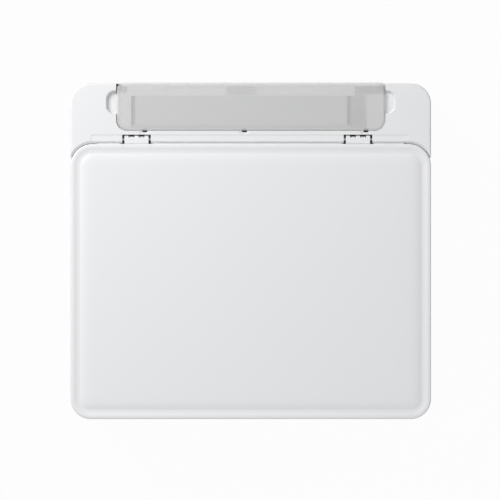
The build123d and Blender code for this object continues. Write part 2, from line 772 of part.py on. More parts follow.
def rear_access_cover():
    """The door in the rear wall, whose curved ribs turn the paper round."""
    x0 = rear_door_left_x + rear_door_gap
    x1 = rear_door_right_x - rear_door_gap
    z0 = rear_door_bottom + rear_door_gap
    z1 = rear_door_top - rear_door_gap
    door = block(x0, x1, rear_y - wall, rear_y, z0, z1)
    low_edge = door.edges().filter_by(Axis.X).group_by(Axis.Z)[0].sort_by(Axis.Y)[-1]
    door = chamfer(low_edge, rear_door_low_chamfer)
    door += rod(x0, x1, door_hinge_y, door_hinge_z, rear_door_pin_radius + 1.1)
    door += rod(x0 - 3.6, x1 + 3.6, door_hinge_y, door_hinge_z, rear_door_pin_radius)
    inner = rear_y - wall + 0.5
    low = Line((inner, z0 + 12), (inner - 17, z0 + 12))
    bend = ThreePointArc((inner - 17, z0 + 12), (inner - 8, z0 + 31), (inner - 7, z0 + 52))
    top = Line((inner - 7, z0 + 52), (inner, z0 + 56))
    back = Line((inner, z0 + 56), (inner, z0 + 12))
    rib = extrude(Plane.YZ * make_face([low, bend, top, back]), 1.6)
    for step in range(rear_rib_count):
        x = x0 + 20 + step * (x1 - x0 - 40) / (rear_rib_count - 1)
        door += Pos(x - 0.8, 0, 0) * rib
    pull = Pos((x0 + x1) / 2, z1 - 6) * SlotOverall(44.0, 7.0)
    door -= Pos(0, rear_y + 0.1, 0) * Rot(90, 0, 0) * extrude(pull, 1.3)
    return door


def document_cover():
    """The lid: a hollow shell with a flat rim, a groove and a softly rolled plateau."""
    rim_z = deck_z + cover_rim_above_deck
    shell = raised(lid_outline(), lid_base, rim_z)
    shell = fillet(shell.faces().sort_by(Axis.Z)[-1].edges(), cover_edge_radius)
    groove_z = rim_z - cover_groove_depth
    start = cover_rim_width + cover_groove_width
    shell -= loft([Pos(0, 0, groove_z) * lid_outline(start),
                   Pos(0, 0, rim_z) * lid_outline(cover_rim_width)])
    rise = body_height - groove_z
    steps = ((0.0, 0.0), (0.25, 0.5), (0.55, 0.85), (1.0, 1.0))
    layers = [Pos(0, 0, groove_z + rise * up) * lid_outline(start + cover_roll_width * inward)
              for inward, up in steps]
    shell += loft(layers)
    shell -= raised(lid_outline(wall), lid_base - 1, lid_cavity_top)
    shell -= raised(lid_outline(start + cover_roll_width + 2), lid_base,
                    body_height - cover_skin)
    for x in hinge_xs:
        half = notch_width / 2 - tongue_gap + 0.2
        shell -= block(x - half, x + half, lid_rear_y - wall - 1, lid_rear_y + 1,
                       tongue_top - tongue_plate - 0.2, tongue_top + 0.05)
        for step in (-1, 1):
            shell += upright(x + step * 7.5, lid_rear_y - 8, liner_top,
                             lid_cavity_top + 0.5, 2.2)
    return shell


def cover_liner():
    """The flat inner plate that closes the document cover from below."""
    plate = raised(lid_outline(wall + slide_gap), lid_base + 0.2, liner_top)
    for x in hinge_xs:
        for step in (-1, 1):
            plate -= Pos(x + step * 7.5, lid_rear_y - 8, liner_top) * Cylinder(2.6, 8)
    return plate


def cover_pad():
    """The white foam pad that presses paper on the glass."""
    sheet = Pos(0, window_center_y) * RectangleRounded(
        window_width - 6, window_depth - 6, 4.0)
    return raised(sheet, lid_base + 0.2 - pad_thickness, lid_base + 0.2)


def cover_hinges():
    """Two moulded tongues: a plate screwed under the lid's skin and a knuckled end."""
    tongues = []
    reach = notch_width / 2 - tongue_gap
    for x in hinge_xs:
        plate = block(x - reach, x + reach, lid_rear_y - tongue_reach, lid_rear_y + 0.3,
                      tongue_top - tongue_plate, tongue_top)
        front = lid_rear_y + 0.2
        head = block(x - reach, x + reach, front, hinge_y,
                     hinge_z - 2.0, hinge_z + knuckle_radius)
        head += rod(x - reach, x + reach, hinge_y, hinge_z, knuckle_radius)
        away = math.radians(knuckle_shell_end)
        far = 3 * knuckle_radius
        cut = along_x([(hinge_y, hinge_z),
                       (hinge_y + far * math.cos(away), hinge_z + far * math.sin(away)),
                       (hinge_y + far, hinge_z - far), (hinge_y, hinge_z - far)],
                      x - reach - 1, x + reach + 1)
        cut += block(x - reach - 1, x + reach + 1, front - 1, hinge_y + 0.1,
                     hinge_z - far, hinge_z - 2.0)
        cut += rod(x - reach - 1, x + reach + 1, hinge_y, hinge_z,
                   knuckle_radius - knuckle_skin)
        for middle in (-reach + knuckle_width / 2, 0, reach - knuckle_width / 2):
            near = x + middle - knuckle_width / 2
            keep = rod(near, near + knuckle_width, hinge_y, hinge_z, knuckle_radius)
            cut -= keep
        head -= cut
        head -= rod(x - reach - 1, x + reach + 1, hinge_y, hinge_z,
                    hinge_pin_radius + running_fit)
        tongue = plate + head
        for step in (-1, 1):
            tongue -= Pos(x + step * 7.5, lid_rear_y - 8, tongue_top) * Cylinder(2.5, 20)
        tongues.append(tongue)
    return Compound(tongues)


def scanner_housing():
    """The scanner unit's pan, with rod bosses, floor ribs and its two hinge arms."""
    pan = raised(lid_outline(), scanner_base, bezel_base)
    pan -= raised(lid_outline(scanner_wall), scanner_base + scanner_wall, bezel_base + 1)
    for side in (-1, 1):
        near = side * (half_width - scanner_wall / 2)
        far = side * (half_width - 15)
        pan += block(min(near, far), max(near, far), scan_rod_y - 7, scan_rod_y + 7,
                     scanner_base + 1, scan_rod_z + 6)
    for step in range(6):
        y = window_center_y - 125 + 50 * step
        if abs(y - scan_rod_y) > 12:
            pan += block(-150, 150, y, y + 1.4, scanner_base + 1, scanner_base + 5)
    rod_end = half_width - 12
    pan -= rod(-rod_end, rod_end, scan_rod_y, scan_rod_z, scan_rod_radius + 0.02)
    for x in hinge_xs:
        for side in (-1, 1):
            near = x + side * (knuckle_width / 2 + 0.5)
            far = near + side * unit_knuckle_width
            low, high = min(near, far), max(near, far)
            arm = rod(low, high, hinge_y, hinge_z, unit_knuckle_radius)
            back = hinge_y + unit_arm_thickness / 2 - 0.4
            foot_z = hinge_z - 16.5
            inside = lid_rear_y - scanner_wall - 6
            arm += along_x([(back - unit_arm_thickness, hinge_z), (back, hinge_z),
                            (back, foot_z), (inside, foot_z), (inside, foot_z + 5),
                            (back - unit_arm_thickness, foot_z + 5)], low, high)
            arm -= rod(low - 1, high + 1, hinge_y, hinge_z, hinge_pin_radius + running_fit)
            pan += arm
    for side in (-1, 1):
        grip = Pos(side * half_width, front_y + 70, scanner_base) * Box(8, 60, 9)
        pan -= grip & raised(lid_outline(-1), 0, scanner_base + scanner_wall - 1.0)
    return pan


def scanner_bezel():
    """The frame round the glass, with a rebate below that holds the glass."""
    frame = raised(lid_outline(), bezel_base, scanner_top)
    window = Pos(0, window_center_y) * RectangleRounded(window_width, window_depth, 3.0)
    frame -= raised(window, bezel_base - 1, scanner_top + 1)
    wide = window_width + 2 * glass_lip
    deep = window_depth + 2 * glass_lip
    rebate = Pos(0, window_center_y) * Rectangle(wide, deep)
    frame -= raised(rebate, bezel_base - 1, glass_top)
    return frame


def platen_glass():
    """The clear scanning glass under the bezel."""
    wide = window_width + 2 * glass_lip - 0.4
    deep = window_depth + 2 * glass_lip - 0.4
    sheet = Pos(0, window_center_y) * Rectangle(wide, deep)
    return raised(sheet, glass_top - glass_thickness, glass_top)


def scan_rod():
    """The steel rod that the image sensor's carrier slides on."""
    rod_end = half_width - 12
    return rod(-rod_end, rod_end, scan_rod_y, scan_rod_z, scan_rod_radius)


def image_sensor():
    """The contact image sensor: a long bar under the glass on a carrier round the rod."""
    top = glass_top - glass_thickness - slide_gap
    x0 = sensor_rest_x - sensor_width / 2
    y0 = window_center_y - window_depth / 2
    bar = block(x0, x0 + sensor_width, y0, y0 + window_depth, top - 9, top)
    bar -= block(x0 + 5, x0 + 12, y0 + 4, y0 + window_depth - 4, top - 0.8, top + 1)
    carrier = block(x0 - 4, x0 + sensor_width + 4, scan_rod_y - 14, scan_rod_y + 14,
                    scan_rod_z - 2, top - 9)
    carrier += rod(x0 - 4, x0 + sensor_width + 4, scan_rod_y, scan_rod_z, 5.5)
    carrier -= rod(x0 - 5, x0 + sensor_width + 5, scan_rod_y, scan_rod_z,
                   scan_rod_radius + running_fit)
    return bar + carrier


def control_panel():
    """The tilting operation panel: rounded top, button wells and end pins."""
    face_y = panel_face_y
    radius = panel_pivot_y - face_y
    back_y = front_y + panel_depth
    outline = Polyline((face_y, panel_pivot_z), (face_y, panel_bottom),
                       (panel_pivot_y, panel_bottom), (back_y, panel_bottom + panel_back_rise),
                       (back_y, panel_pivot_z + radius),
                       (panel_pivot_y, panel_pivot_z + radius))
    round_top = ThreePointArc(
        (panel_pivot_y, panel_pivot_z + radius),
        (panel_pivot_y - radius * math.sin(math.pi / 4),
         panel_pivot_z + radius * math.sin(math.pi / 4)),
        (face_y, panel_pivot_z))
    face = Plane.YZ * make_face([outline, round_top])
    panel = Pos(-panel_half_width, 0, 0) * extrude(face, 2 * panel_half_width)
    end = panel_half_width + panel_pin_length
    panel += rod(-end, end, panel_pivot_y, panel_pivot_z, panel_pin_radius)
    screen = block(-display_width / 2 - 0.2 + display_x, display_width / 2 + 0.2 + display_x,
                   face_y - 1, face_y + display_thickness,
                   button_z - display_height / 2 - 0.2, button_z + display_height / 2 + 0.2)
    panel -= screen
    for x, radius in button_places.values():
        panel -= rod_y(x, face_y - 1, face_y + button_depth + button_travel + 1.0,
                       button_z, radius + button_gap)
    return panel


def display_window():
    """The glossy display window set in the operation panel."""
    return block(display_x - display_width / 2, display_x + display_width / 2,
                 panel_face_y, panel_face_y + display_thickness,
                 button_z - display_height / 2, button_z + display_height / 2)


def panel_button(name):
    """A round button with a dished face that stands just proud of the panel."""
    x, radius = button_places[name]
    button = rod_y(x, front_y, panel_face_y + button_depth, button_z, radius)
    button = chamfer(button.edges().sort_by(Axis.Y)[0], 0.4)
    dish_radius = radius * 4
    dish = Pos(x, front_y - dish_radius + 0.35, button_z) * Sphere(dish_radius)
    return button - dish


def cassette_tray():
    """The paper cassette: floor with guide slots, low walls and a front with a grip."""
    half = channel_half_width - 1.5
    y0 = front_y + cassette_front_thickness
    y1 = front_y + cassette_length
    floor_z = cassette_floor_z
    tray = block(-half, half, y0 - 1, y1, floor_z - cassette_floor, floor_z)
    for side in (-1, 1):
        near = side * (half - cassette_wall)
        far = side * half
        tray += block(min(near, far), max(near, far), y0 - 1, y1, cassette_base,
                      cassette_base + cassette_wall_height)
    tray += block(-half, half, y1 - cassette_wall, y1, floor_z - cassette_floor,
                  cassette_base + cassette_wall_height - 6)
    front = block(-half, half, front_y, y0, cassette_base, cassette_base + cassette_front_height)
    front = fillet(front.edges().filter_by(Axis.X).group_by(Axis.Y)[0], 1.2)
    grip = Pos(0, 0, cassette_base) * Rot(90, 0, 0) * Cylinder(26.0, 40)
    grip = Pos(0, front_y, -16) * grip
    tray += front - (grip & block(-60, 60, front_y - 5, y0 - 1.4, 0, 60))
    place = Pos(0, cassette_guide_row, floor_z)
    for slot in guide_openings(0, 0, cassette_floor):
        tray -= place * slot
    tray += place * pinion_stud(0, 0, cassette_floor)
    return tray


def cassette_guide_left():
    return Pos(0, cassette_guide_row, cassette_floor_z) * guide_with_rack(
        0, 0, cassette_floor, cassette_guide_height, cassette_guide_length)


def cassette_guide_right():
    return Pos(0, cassette_guide_row, cassette_floor_z) * guide_turned(
        0, 0, cassette_floor, cassette_guide_height, cassette_guide_length)


def cassette_pinion():
    return Pos(0, cassette_guide_row, cassette_floor_z) * guide_pinion(0, 0, cassette_floor)


def output_tray():
    """The output tray: a thin plate with a lip, side rims and a lane for its extension."""
    half = channel_half_width - 2.5
    y0 = front_y + 0.3
    y1 = y0 + output_tray_length
    base = output_tray_base
    top = base + output_tray_thickness
    tray = block(-half, half, y0, y1, base, top)
    lane = extension_half_width + slide_gap
    tray -= block(-lane, lane, y0 - 1, y0 + extension_length + 2,
                  base + 0.8, top - 0.6)
    tray -= block(-lane + 6, lane - 6, y0 - 1, y0 + extension_length - 8, top - 1, top + 1)
    for side in (-1, 1):
        near = side * half
        far = side * (lane + 2)
        lip = block(min(near, far), max(near, far), y0, y0 + output_tray_lip,
                    base, top + 2.5)
        tray += fillet(lip.edges().filter_by(Axis.X).group_by(Axis.Z)[-1], 1.0)
    for step in range(9):
        x = (step - 4) * 26.0
        if abs(x) > lane + 1:
            tray += block(x - 0.6, x + 0.6, y0 + output_tray_lip, y1 - 4, top - 0.3, top + 0.8)
    return tray


def output_extension():
    """The flat slide inside the output tray, with a rounded front and a raised stop."""
    base = output_tray_base + 0.8 + 0.2
    y0 = front_y + 0.6
    sheet = Pos(0, y0 + extension_length / 2) * RectangleRounded(
        2 * extension_half_width, extension_length, 5.0)
    plate = raised(sheet, base, base + extension_thickness - 0.2)
    stop = Pos(0, y0 + 4) * RectangleRounded(2 * extension_half_width - 16, 6.0, 2.5)
    return plate + raised(stop, base, base + extension_thickness + 2.4)


def side_frames():
    """Two plates on the case floor that carry the rail and every shaft's bearings."""
    front, back = eject_axis_y - 14, feed_axis_y + feed_gear_teeth * gear_module / 2 + 12
    low_top = eject_axis_z + 12
    sheet = [(front, floor_top), (back, floor_top), (back, feed_axis_z - 6),
             (rail_y + 24, feed_axis_z + 10), (rail_y + 24, rail_top),
             (rail_y - 8, rail_top), (eject_axis_y + 26, low_top), (front + 4, low_top)]
    frames = []
    for side in (-1, 1):
        low = side * frame_x - frame_thickness / 2
        plate = along_x(sheet, low, low + frame_thickness)
        for y, z, radius in ((feed_axis_y, feed_axis_z, feed_shaft_radius),
                             (eject_axis_y, eject_axis_z, eject_shaft_radius),
                             (pickup_y, pickup_z, pickup_shaft_radius)):
            plate -= rod(low - 1, low + 3, y, z, radius + running_fit)
        plate -= rod(low - 1, low + 3, 62, 30, 12.0)
        if side < 0:
            plate -= rod(low - 1, low + 3, feed_motor_y, feed_motor_z, 2.5)
            plate += rod(low - 6, low + 1, idler_y, feed_axis_z, 2.0)
        frames.append(plate)
    return Compound(frames)


def carriage_rail():
    """The folded steel rail between the side frames, with the idler's stub."""
    y0 = rail_y
    y1 = rail_y + rail_thickness
    rail = block(-frame_inner_x, frame_inner_x, y0, y1, rail_bottom, rail_top)
    rail += block(-frame_inner_x, frame_inner_x, y0, y1 + 4, rail_bottom, rail_bottom + 1.2)
    rail -= rod_y(-belt_axis_x, y0 - 1, y1 + 1, belt_axis_z, 3.0)
    rail += rod_y(belt_axis_x, y0 - belt_width - 1.0, y0 + 0.5, belt_axis_z, stub_radius)
    for step in range(9):
        x = (step - 4) * 30.0
        hole = Pos(x, y0, (rail_bottom + rail_top) / 2 - 4) * Rot(90, 0, 0)
        rail -= hole * extrude(SlotOverall(rail_hole_length, rail_hole_width), 6, both=True)
    return rail


def carriage_motor():
    """The motor behind the rail, with the shaft that carries the belt's driving pulley."""
    y0 = rail_y + rail_thickness
    can = rod_y(-belt_axis_x, y0, y0 + belt_motor_length, belt_axis_z, motor_radius)
    can = chamfer(can.edges().sort_by(Axis.Y)[-1], 1.5)
    can += rod_y(-belt_axis_x, y0 - belt_width - 2.2, y0 + 1, belt_axis_z, stub_radius)
    return can


def belt_pulley(x):
    """A flanged pulley for the carriage belt."""
    y1 = rail_y - 0.5
    y0 = y1 - belt_width
    pulley = rod_y(x, y0, y1, belt_axis_z, pulley_radius)
    return pulley - rod_y(x, y0 - 1, y1 + 1, belt_axis_z, stub_radius + running_fit)


def carriage_belt():
    """The carriage belt: a flat loop round both pulleys."""
    inner = pulley_radius + 0.15
    outer = inner + belt_thickness
    loop = SlotOverall(2 * (belt_axis_x + outer), 2 * outer)
    loop -= SlotOverall(2 * (belt_axis_x + inner), 2 * inner)
    y1 = rail_y - 0.6
    return Pos(0, y1, belt_axis_z) * Rot(90, 0, 0) * extrude(loop, belt_width - 0.4)


def spur_gear(teeth, y, z, turn):
    """A spur gear in the drive train's plane, its axis along X."""
    low = -frame_outer_x - 1.0 - gear_width
    face = Rot(0, 0, turn) * gear_face(gear_module, teeth, gear_backlash)
    return Pos(low, y, z) * extrude(Plane.YZ * face, gear_width)


def feed_roller():
    """The steel feed shaft with its grit-coated middle."""
    shaft = rod(-frame_outer_x - 1.0 - gear_width, frame_outer_x + 1,
                feed_axis_y, feed_axis_z, feed_shaft_radius)
    return shaft


def feed_gear():
    """The large gear pressed on the feed shaft's left end."""
    gear = spur_gear(feed_gear_teeth, feed_axis_y, feed_axis_z, 0)
    low = -frame_outer_x - 2 - gear_width
    gear -= rod(low, low + gear_width + 3, feed_axis_y, feed_axis_z, feed_shaft_radius)
    for step in range(5):
        angle = 2 * math.pi * step / 5
        gear -= rod(low, low + gear_width + 3, feed_axis_y + 11 * math.cos(angle),
                    feed_axis_z + 11 * math.sin(angle), 3.4)
    return gear


def idler_gear():
    """The idler between the feed and eject gears, on a stub of the left frame."""
    turn = 180.0 / idler_gear_teeth
    gear = spur_gear(idler_gear_teeth, idler_y, feed_axis_z, turn)
    return gear - rod(-frame_outer_x - 8, -frame_outer_x, idler_y, feed_axis_z,
                      2.0 + running_fit)


def motor_pinion():
    """The feed motor's pinion, in mesh with the feed gear."""
    gear = spur_gear(motor_gear_teeth, feed_motor_y, feed_motor_z, motor_turn)
    low = -frame_outer_x - 2 - gear_width
    return gear - rod(low, low + gear_width + 3, feed_motor_y, feed_motor_z,
                      1.2 + running_fit)


def feed_motor():
    """The paper feed motor inside the left frame, with its shaft."""
    x0 = -frame_inner_x
    can = rod(x0, x0 + motor_length, feed_motor_y, feed_motor_z, motor_radius)
    can = chamfer(can.edges().sort_by(Axis.X)[-1], 1.5)
    return can + rod(-frame_outer_x - 1 - gear_width, x0 + 1, feed_motor_y, feed_motor_z, 1.2)


def eject_roller():
    """The eject shaft with its moulded gear and evenly spaced rubber rings."""
    roller = rod(-frame_outer_x - 2, frame_outer_x + 1, eject_axis_y, eject_axis_z,
                 eject_shaft_radius)
    for step in range(eject_ring_count):
        x = (step - (eject_ring_count - 1) / 2) * 42.0 - 20.0
        roller += rod(x - 4, x + 4, eject_axis_y, eject_axis_z, eject_ring_radius)
    return roller + spur_gear(feed_gear_teeth, eject_axis_y, eject_axis_z, 0)


def pickup_roller():
    """The rear tray's pickup shaft with two rubber tyres."""
    roller = rod(-frame_outer_x, frame_outer_x, pickup_y, pickup_z, pickup_shaft_radius)
    for side in (-1, 1):
        x = paper_center_x + side * 24.0
        roller += rod(x - pickup_tyre_width / 2, x + pickup_tyre_width / 2,
                      pickup_y, pickup_z, pickup_tyre_radius)
    return roller


def platen():
    """The ribbed plate that holds the paper flat under the print heads."""
    x0 = -frame_inner_x
    x1 = carriage_park_x - carriage_width / 2 + 34
    y0 = eject_axis_y + 7
    y1 = feed_axis_y - 6
    plate = block(x0, x1, y0, y1, platen_top - 7, platen_top - 3.5)
    for step in range(platen_rib_count):
        x = x0 + 8 + step * (x1 - x0 - 16) / (platen_rib_count - 1)
        plate += block(x - 0.8, x + 0.8, y0 + 2, y1 - 2, platen_top - 4, platen_top)
    return plate


def purge_unit():
    """The capping and cleaning unit under the parked carriage."""
    x0 = carriage_park_x - carriage_width / 2 + 36
    x1 = frame_inner_x
    y0 = eject_axis_y + 8
    y1 = feed_axis_y - 8
    base = block(channel_half_width + wall + 3, x1, y0, y1, floor_top, platen_top - 6)
    base += block(x0, x1, y0, y1, platen_top - 13, platen_top - 6)
    for x in (x0 + 13, x0 + 36):
        cap = Pos(x, (eject_axis_y + feed_axis_y) / 2) * RectangleRounded(18, 28, 3)
        hollow = Pos(x, (eject_axis_y + feed_axis_y) / 2) * RectangleRounded(15, 25, 2)
        base += raised(cap, platen_top - 7, platen_top + 1.5)
        base -= raised(hollow, platen_top - 1.5, platen_top + 3)
    return base


def carriage():
    """The cartridge carriage: an open box with two bays, a belt lane and a rail hook."""
    x0 = carriage_park_x - carriage_width / 2
    x1 = x0 + carriage_width
    y1 = rail_y - 0.4
    body = block(x0, x1, carriage_front_y, y1, carriage_bottom, 80)
    bay_rear = y1 - 7.5
    hook_top = rail_top + 3.0
    body += block(x0, x1, bay_rear, y1 - 5.6, carriage_bottom, hook_top)
    body += block(x0, x1, bay_rear, rail_y + rail_thickness + 2.2, hook_top - 1.6, hook_top)
    body += block(x0, x1, rail_y + rail_thickness + 0.4, rail_y + rail_thickness + 2.2,
                  rail_top - 4, hook_top)
    body -= block(x0 - 1, x1 + 1, feed_axis_y - feed_shaft_radius - 1.5, rail_y + 5,
                  carriage_bottom - 1, feed_axis_z + feed_shaft_radius + 1.5)
    for x in bay_xs:
        body -= block(x - cartridge_width / 2 - slide_gap, x + cartridge_width / 2 + slide_gap,
                      carriage_front_y + 3.5, bay_rear - 1.8, carriage_bottom + 4, 100)
        body -= block(x - cartridge_width / 2 + 6, x + cartridge_width / 2 - 6,
                      carriage_front_y + 12, bay_rear - 10, carriage_bottom - 1, 100)
        body -= block(x - lever_half - 0.6, x + lever_half + 0.6, carriage_front_y - 1,
                      carriage_front_y + 4, lever_pivot_z - 4, 100)
    for x in (x0, x1 - 1.6, carriage_park_x - 0.8):
        body += along_x([(carriage_front_y + 3.5, 79), (carriage_front_y + 3.5, 84),
                         (bay_rear + 0.5, rail_top), (bay_rear + 0.5, 79)], x, x + 1.6)
    for x in bay_xs:
        body -= rod(x - lever_half - 2.6, x + lever_half + 2.6, lever_y, lever_pivot_z,
                    1.2 + running_fit)
    return body


def cartridge(x, nozzle_width):
    """An ink cartridge: a wedge-backed tank with a grip lip and a nozzle plate."""
    half = cartridge_width / 2
    y0 = carriage_front_y + 3.9
    y1 = rail_y - 10.1
    z0 = carriage_bottom + 4.2
    tank = along_x([(y0, z0), (y0, 88.5), (y0 + 3, 90.5), (y1 - 12, 90.5), (y1, 84.0),
                    (y1, z0)], x - half, x + half)
    tank += block(x - nozzle_width / 2, x + nozzle_width / 2, y0 + 10.5, y1 - 9.5,
                  carriage_bottom - 0.4, z0 + 1)
    tank -= block(x - half + 5, x + half - 5, y0 + 12, y1 - 15, 89.7, 92)
    return tank


def lock_lever(x):
    """The lever in front of a cartridge, on two short pins in the carriage."""
    lever = along_x([(lever_y - 1.2, lever_pivot_z), (lever_y - 1.2, lever_top - 3),
                     (lever_y - 3.2, lever_top), (lever_y + 1.2, lever_top),
                     (lever_y + 1.2, lever_pivot_z)], x - lever_half, x + lever_half)
    lever += rod(x - lever_half, x + lever_half, lever_y, lever_pivot_z, 2.0)
    return lever + rod(x - lever_half - 2.2, x + lever_half + 2.2, lever_y,
                       lever_pivot_z, 1.2)


def power_supply():
    """The sealed power supply beside the cassette channel."""
    box = block(-half_width + wall + 4, -channel_half_width - wall - 6, -66, -8,
                floor_top, floor_top + 34)
    return chamfer(box.edges().filter_by(Axis.Z), 2.0)


def main_board():
    """The main circuit board on edge at the right, with its larger components."""
    x = half_width - wall - 5
    board = block(x, x + 1.6, -70, 60, floor_top, floor_top + 48)
    for y, z, deep, tall in ((-40, 34, 22, 22), (-8, 30, 14, 14), (20, 38, 18, 10),
                             (42, 20, 10, 16)):
        board += block(x - 2.4, x + 0.5, y - deep / 2, y + deep / 2, z - tall / 2, z + tall / 2)
    return board


def usb_port():
    """The square data socket in the rear wall."""
    shell = block(usb_x - 6.0, usb_x + 6.0, rear_y - 16, rear_y - 0.6, usb_z - 5.8, usb_z + 5.8)
    hollow = block(usb_x - 4.6, usb_x + 4.6, rear_y - 10, rear_y, usb_z - 4.4, usb_z + 4.4)
    tongue = block(usb_x - 3.0, usb_x + 3.0, rear_y - 11, rear_y - 3, usb_z - 1.2, usb_z + 1.2)
    return shell - hollow + tongue


def power_inlet():
    """The two-pin mains inlet in the rear wall."""
    body = block(inlet_x - 11.0, inlet_x + 11.0, rear_y - 20, rear_y - 0.6,
                 inlet_z - 6.0, inlet_z + 6.0)
    mouth = Pos(inlet_x, inlet_z) * SlotOverall(16.5, 8.4)
    body -= Pos(0, rear_y, 0) * Rot(90, 0, 0) * extrude(mouth, 12.0)
    for side in (-1, 1):
        body += rod_y(inlet_x + side * 4.2, rear_y - 13, rear_y - 4, inlet_z, 1.2)
    return body


def all_parts():
    """Every sub-part by its node name."""
    parts = {
        "bottom_case": bottom_case(), "rubber_feet": rubber_feet(),
        "main_case": main_case(), "rear_housing": rear_housing(),
        "hinge_pins": hinge_pins(), "rear_tray": rear_tray(),
        "side_frames": side_frames(), "carriage_rail": carriage_rail(),
        "carriage_belt": carriage_belt(), "carriage_motor": carriage_motor(),
        "feed_motor": feed_motor(), "platen": platen(), "purge_unit": purge_unit(),
        "power_supply": power_supply(), "main_board": main_board(),
        "usb_port": usb_port(), "power_inlet": power_inlet(),
        "feed_roller": feed_roller(), "feed_gear": feed_gear(),
        "idler_gear": idler_gear(), "eject_roller": eject_roller(),
        "motor_pinion": motor_pinion(), "pickup_roller": pickup_roller(),
        "carriage": carriage(), "cartridge_black": cartridge(bay_xs[0], 20.0),
        "cartridge_colour": cartridge(bay_xs[1], 16.0),
        "lock_lever_black": lock_lever(bay_xs[0]),
        "lock_lever_colour": lock_lever(bay_xs[1]),
        "motor_pulley": belt_pulley(-belt_axis_x), "idler_pulley": belt_pulley(belt_axis_x),
        "cassette_tray": cassette_tray(), "cassette_guide_left": cassette_guide_left(),
        "cassette_guide_right": cassette_guide_right(),
        "cassette_pinion": cassette_pinion(), "output_tray": output_tray(),
        "output_extension": output_extension(), "control_panel": control_panel(),
        "display_window": display_window(), "scanner_housing": scanner_housing(),
        "scanner_bezel": scanner_bezel(), "platen_glass": platen_glass(),
        "scan_rod": scan_rod(), "image_sensor": image_sensor(),
        "document_cover": document_cover(), "cover_liner": cover_liner(),
        "cover_pad": cover_pad(), "cover_hinges": cover_hinges(),
        "rear_tray_cover": rear_tray_cover(), "tray_cover_bar": tray_cover_bar(),
        "paper_support": paper_support(), "feed_slot_cover": feed_slot_cover(),
        "paper_guide_left": paper_guide_left(), "paper_guide_right": paper_guide_right(),
        "paper_guide_pinion": paper_guide_pinion(),
        "rear_access_cover": rear_access_cover(),
    }
    for name in button_places:
        parts[name] = panel_button(name)
    return parts


if __name__ == "__main__":
    os.makedirs("parts", exist_ok=True)
    for name, shape in all_parts().items():
        shape.label = name
        export_step(shape, f"parts/{name}.step")
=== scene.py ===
import bpy, bmesh, math
from mathutils import Matrix, Vector


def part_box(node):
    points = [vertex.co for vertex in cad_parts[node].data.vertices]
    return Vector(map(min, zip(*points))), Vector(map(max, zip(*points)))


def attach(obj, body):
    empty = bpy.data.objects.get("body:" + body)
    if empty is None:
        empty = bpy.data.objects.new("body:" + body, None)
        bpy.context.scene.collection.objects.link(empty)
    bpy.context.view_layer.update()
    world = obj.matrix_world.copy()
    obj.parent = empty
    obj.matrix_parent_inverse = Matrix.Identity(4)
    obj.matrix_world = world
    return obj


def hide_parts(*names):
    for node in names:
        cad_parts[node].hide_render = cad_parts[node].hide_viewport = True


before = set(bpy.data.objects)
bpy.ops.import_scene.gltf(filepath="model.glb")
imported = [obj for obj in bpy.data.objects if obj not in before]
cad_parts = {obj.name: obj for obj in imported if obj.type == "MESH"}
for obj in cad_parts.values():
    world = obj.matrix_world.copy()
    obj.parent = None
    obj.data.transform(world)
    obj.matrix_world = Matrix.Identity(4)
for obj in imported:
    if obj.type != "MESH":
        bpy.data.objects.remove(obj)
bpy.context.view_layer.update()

# Bottom case and main case. Two white impact-plastic mouldings with a fine satin texture,
# clipped one on the other; the mechanism is screwed to the lower one. Their edges are
# rounded only in the shading, by half a millimetre, as a mould leaves them.
def add_sockets(tree, direction, sockets):
    for name, kind in sockets:
        tree.interface.new_socket(name, in_out=direction, socket_type="NodeSocket" + kind)


def math_node(tree, operation, *terms):
    node = tree.nodes.new("ShaderNodeMath")
    node.operation = operation
    for socket, term in zip(node.inputs, terms):
        if isinstance(term, bpy.types.NodeSocket):
            tree.links.new(term, socket)
        else:
            socket.default_value = term
    return node.outputs[0]


def moulded_surface():
    tree = bpy.data.node_groups.new("moulded_surface", "ShaderNodeTree")
    add_sockets(tree, "INPUT", (("Colour", "Color"), ("Clouding", "Float"),
                                ("Roughness", "Float"), ("Gloss Change", "Float"),
                                ("Grain Scale", "Float")))
    add_sockets(tree, "OUTPUT", (("Colour", "Color"), ("Roughness", "Float"),
                                 ("Height", "Float")))
    new, link = tree.nodes.new, tree.links.new
    given, result = new("NodeGroupInput"), new("NodeGroupOutput")
    place = new("ShaderNodeTexCoord")
    broad, fine = new("ShaderNodeTexNoise"), new("ShaderNodeTexNoise")
    broad.inputs["Scale"].default_value = 11.0
    broad.inputs["Detail"].default_value = 4.0
    fine.inputs["Detail"].default_value = 2.0
    link(given.outputs["Grain Scale"], fine.inputs["Scale"])
    for noise in (broad, fine):
        link(place.outputs["Object"], noise.inputs["Vector"])
    centred = math_node(tree, "SUBTRACT", broad.outputs["Fac"], 0.5)
    tint = math_node(tree, "MULTIPLY_ADD", centred, given.outputs["Clouding"], 1.0)
    gloss = math_node(tree, "MULTIPLY_ADD", centred, given.outputs["Gloss Change"],
                      given.outputs["Roughness"])
    scaled = new("ShaderNodeVectorMath")
    scaled.operation = "SCALE"
    link(given.outputs["Colour"], scaled.inputs[0])
    link(tint, scaled.inputs["Scale"])
    link(scaled.outputs[0], result.inputs["Colour"])
    link(gloss, result.inputs["Roughness"])
    link(fine.outputs["Fac"], result.inputs["Height"])


def new_finish(name):
    finish = bpy.data.materials.new(name)
    finish.use_nodes = True
    return finish, finish.node_tree


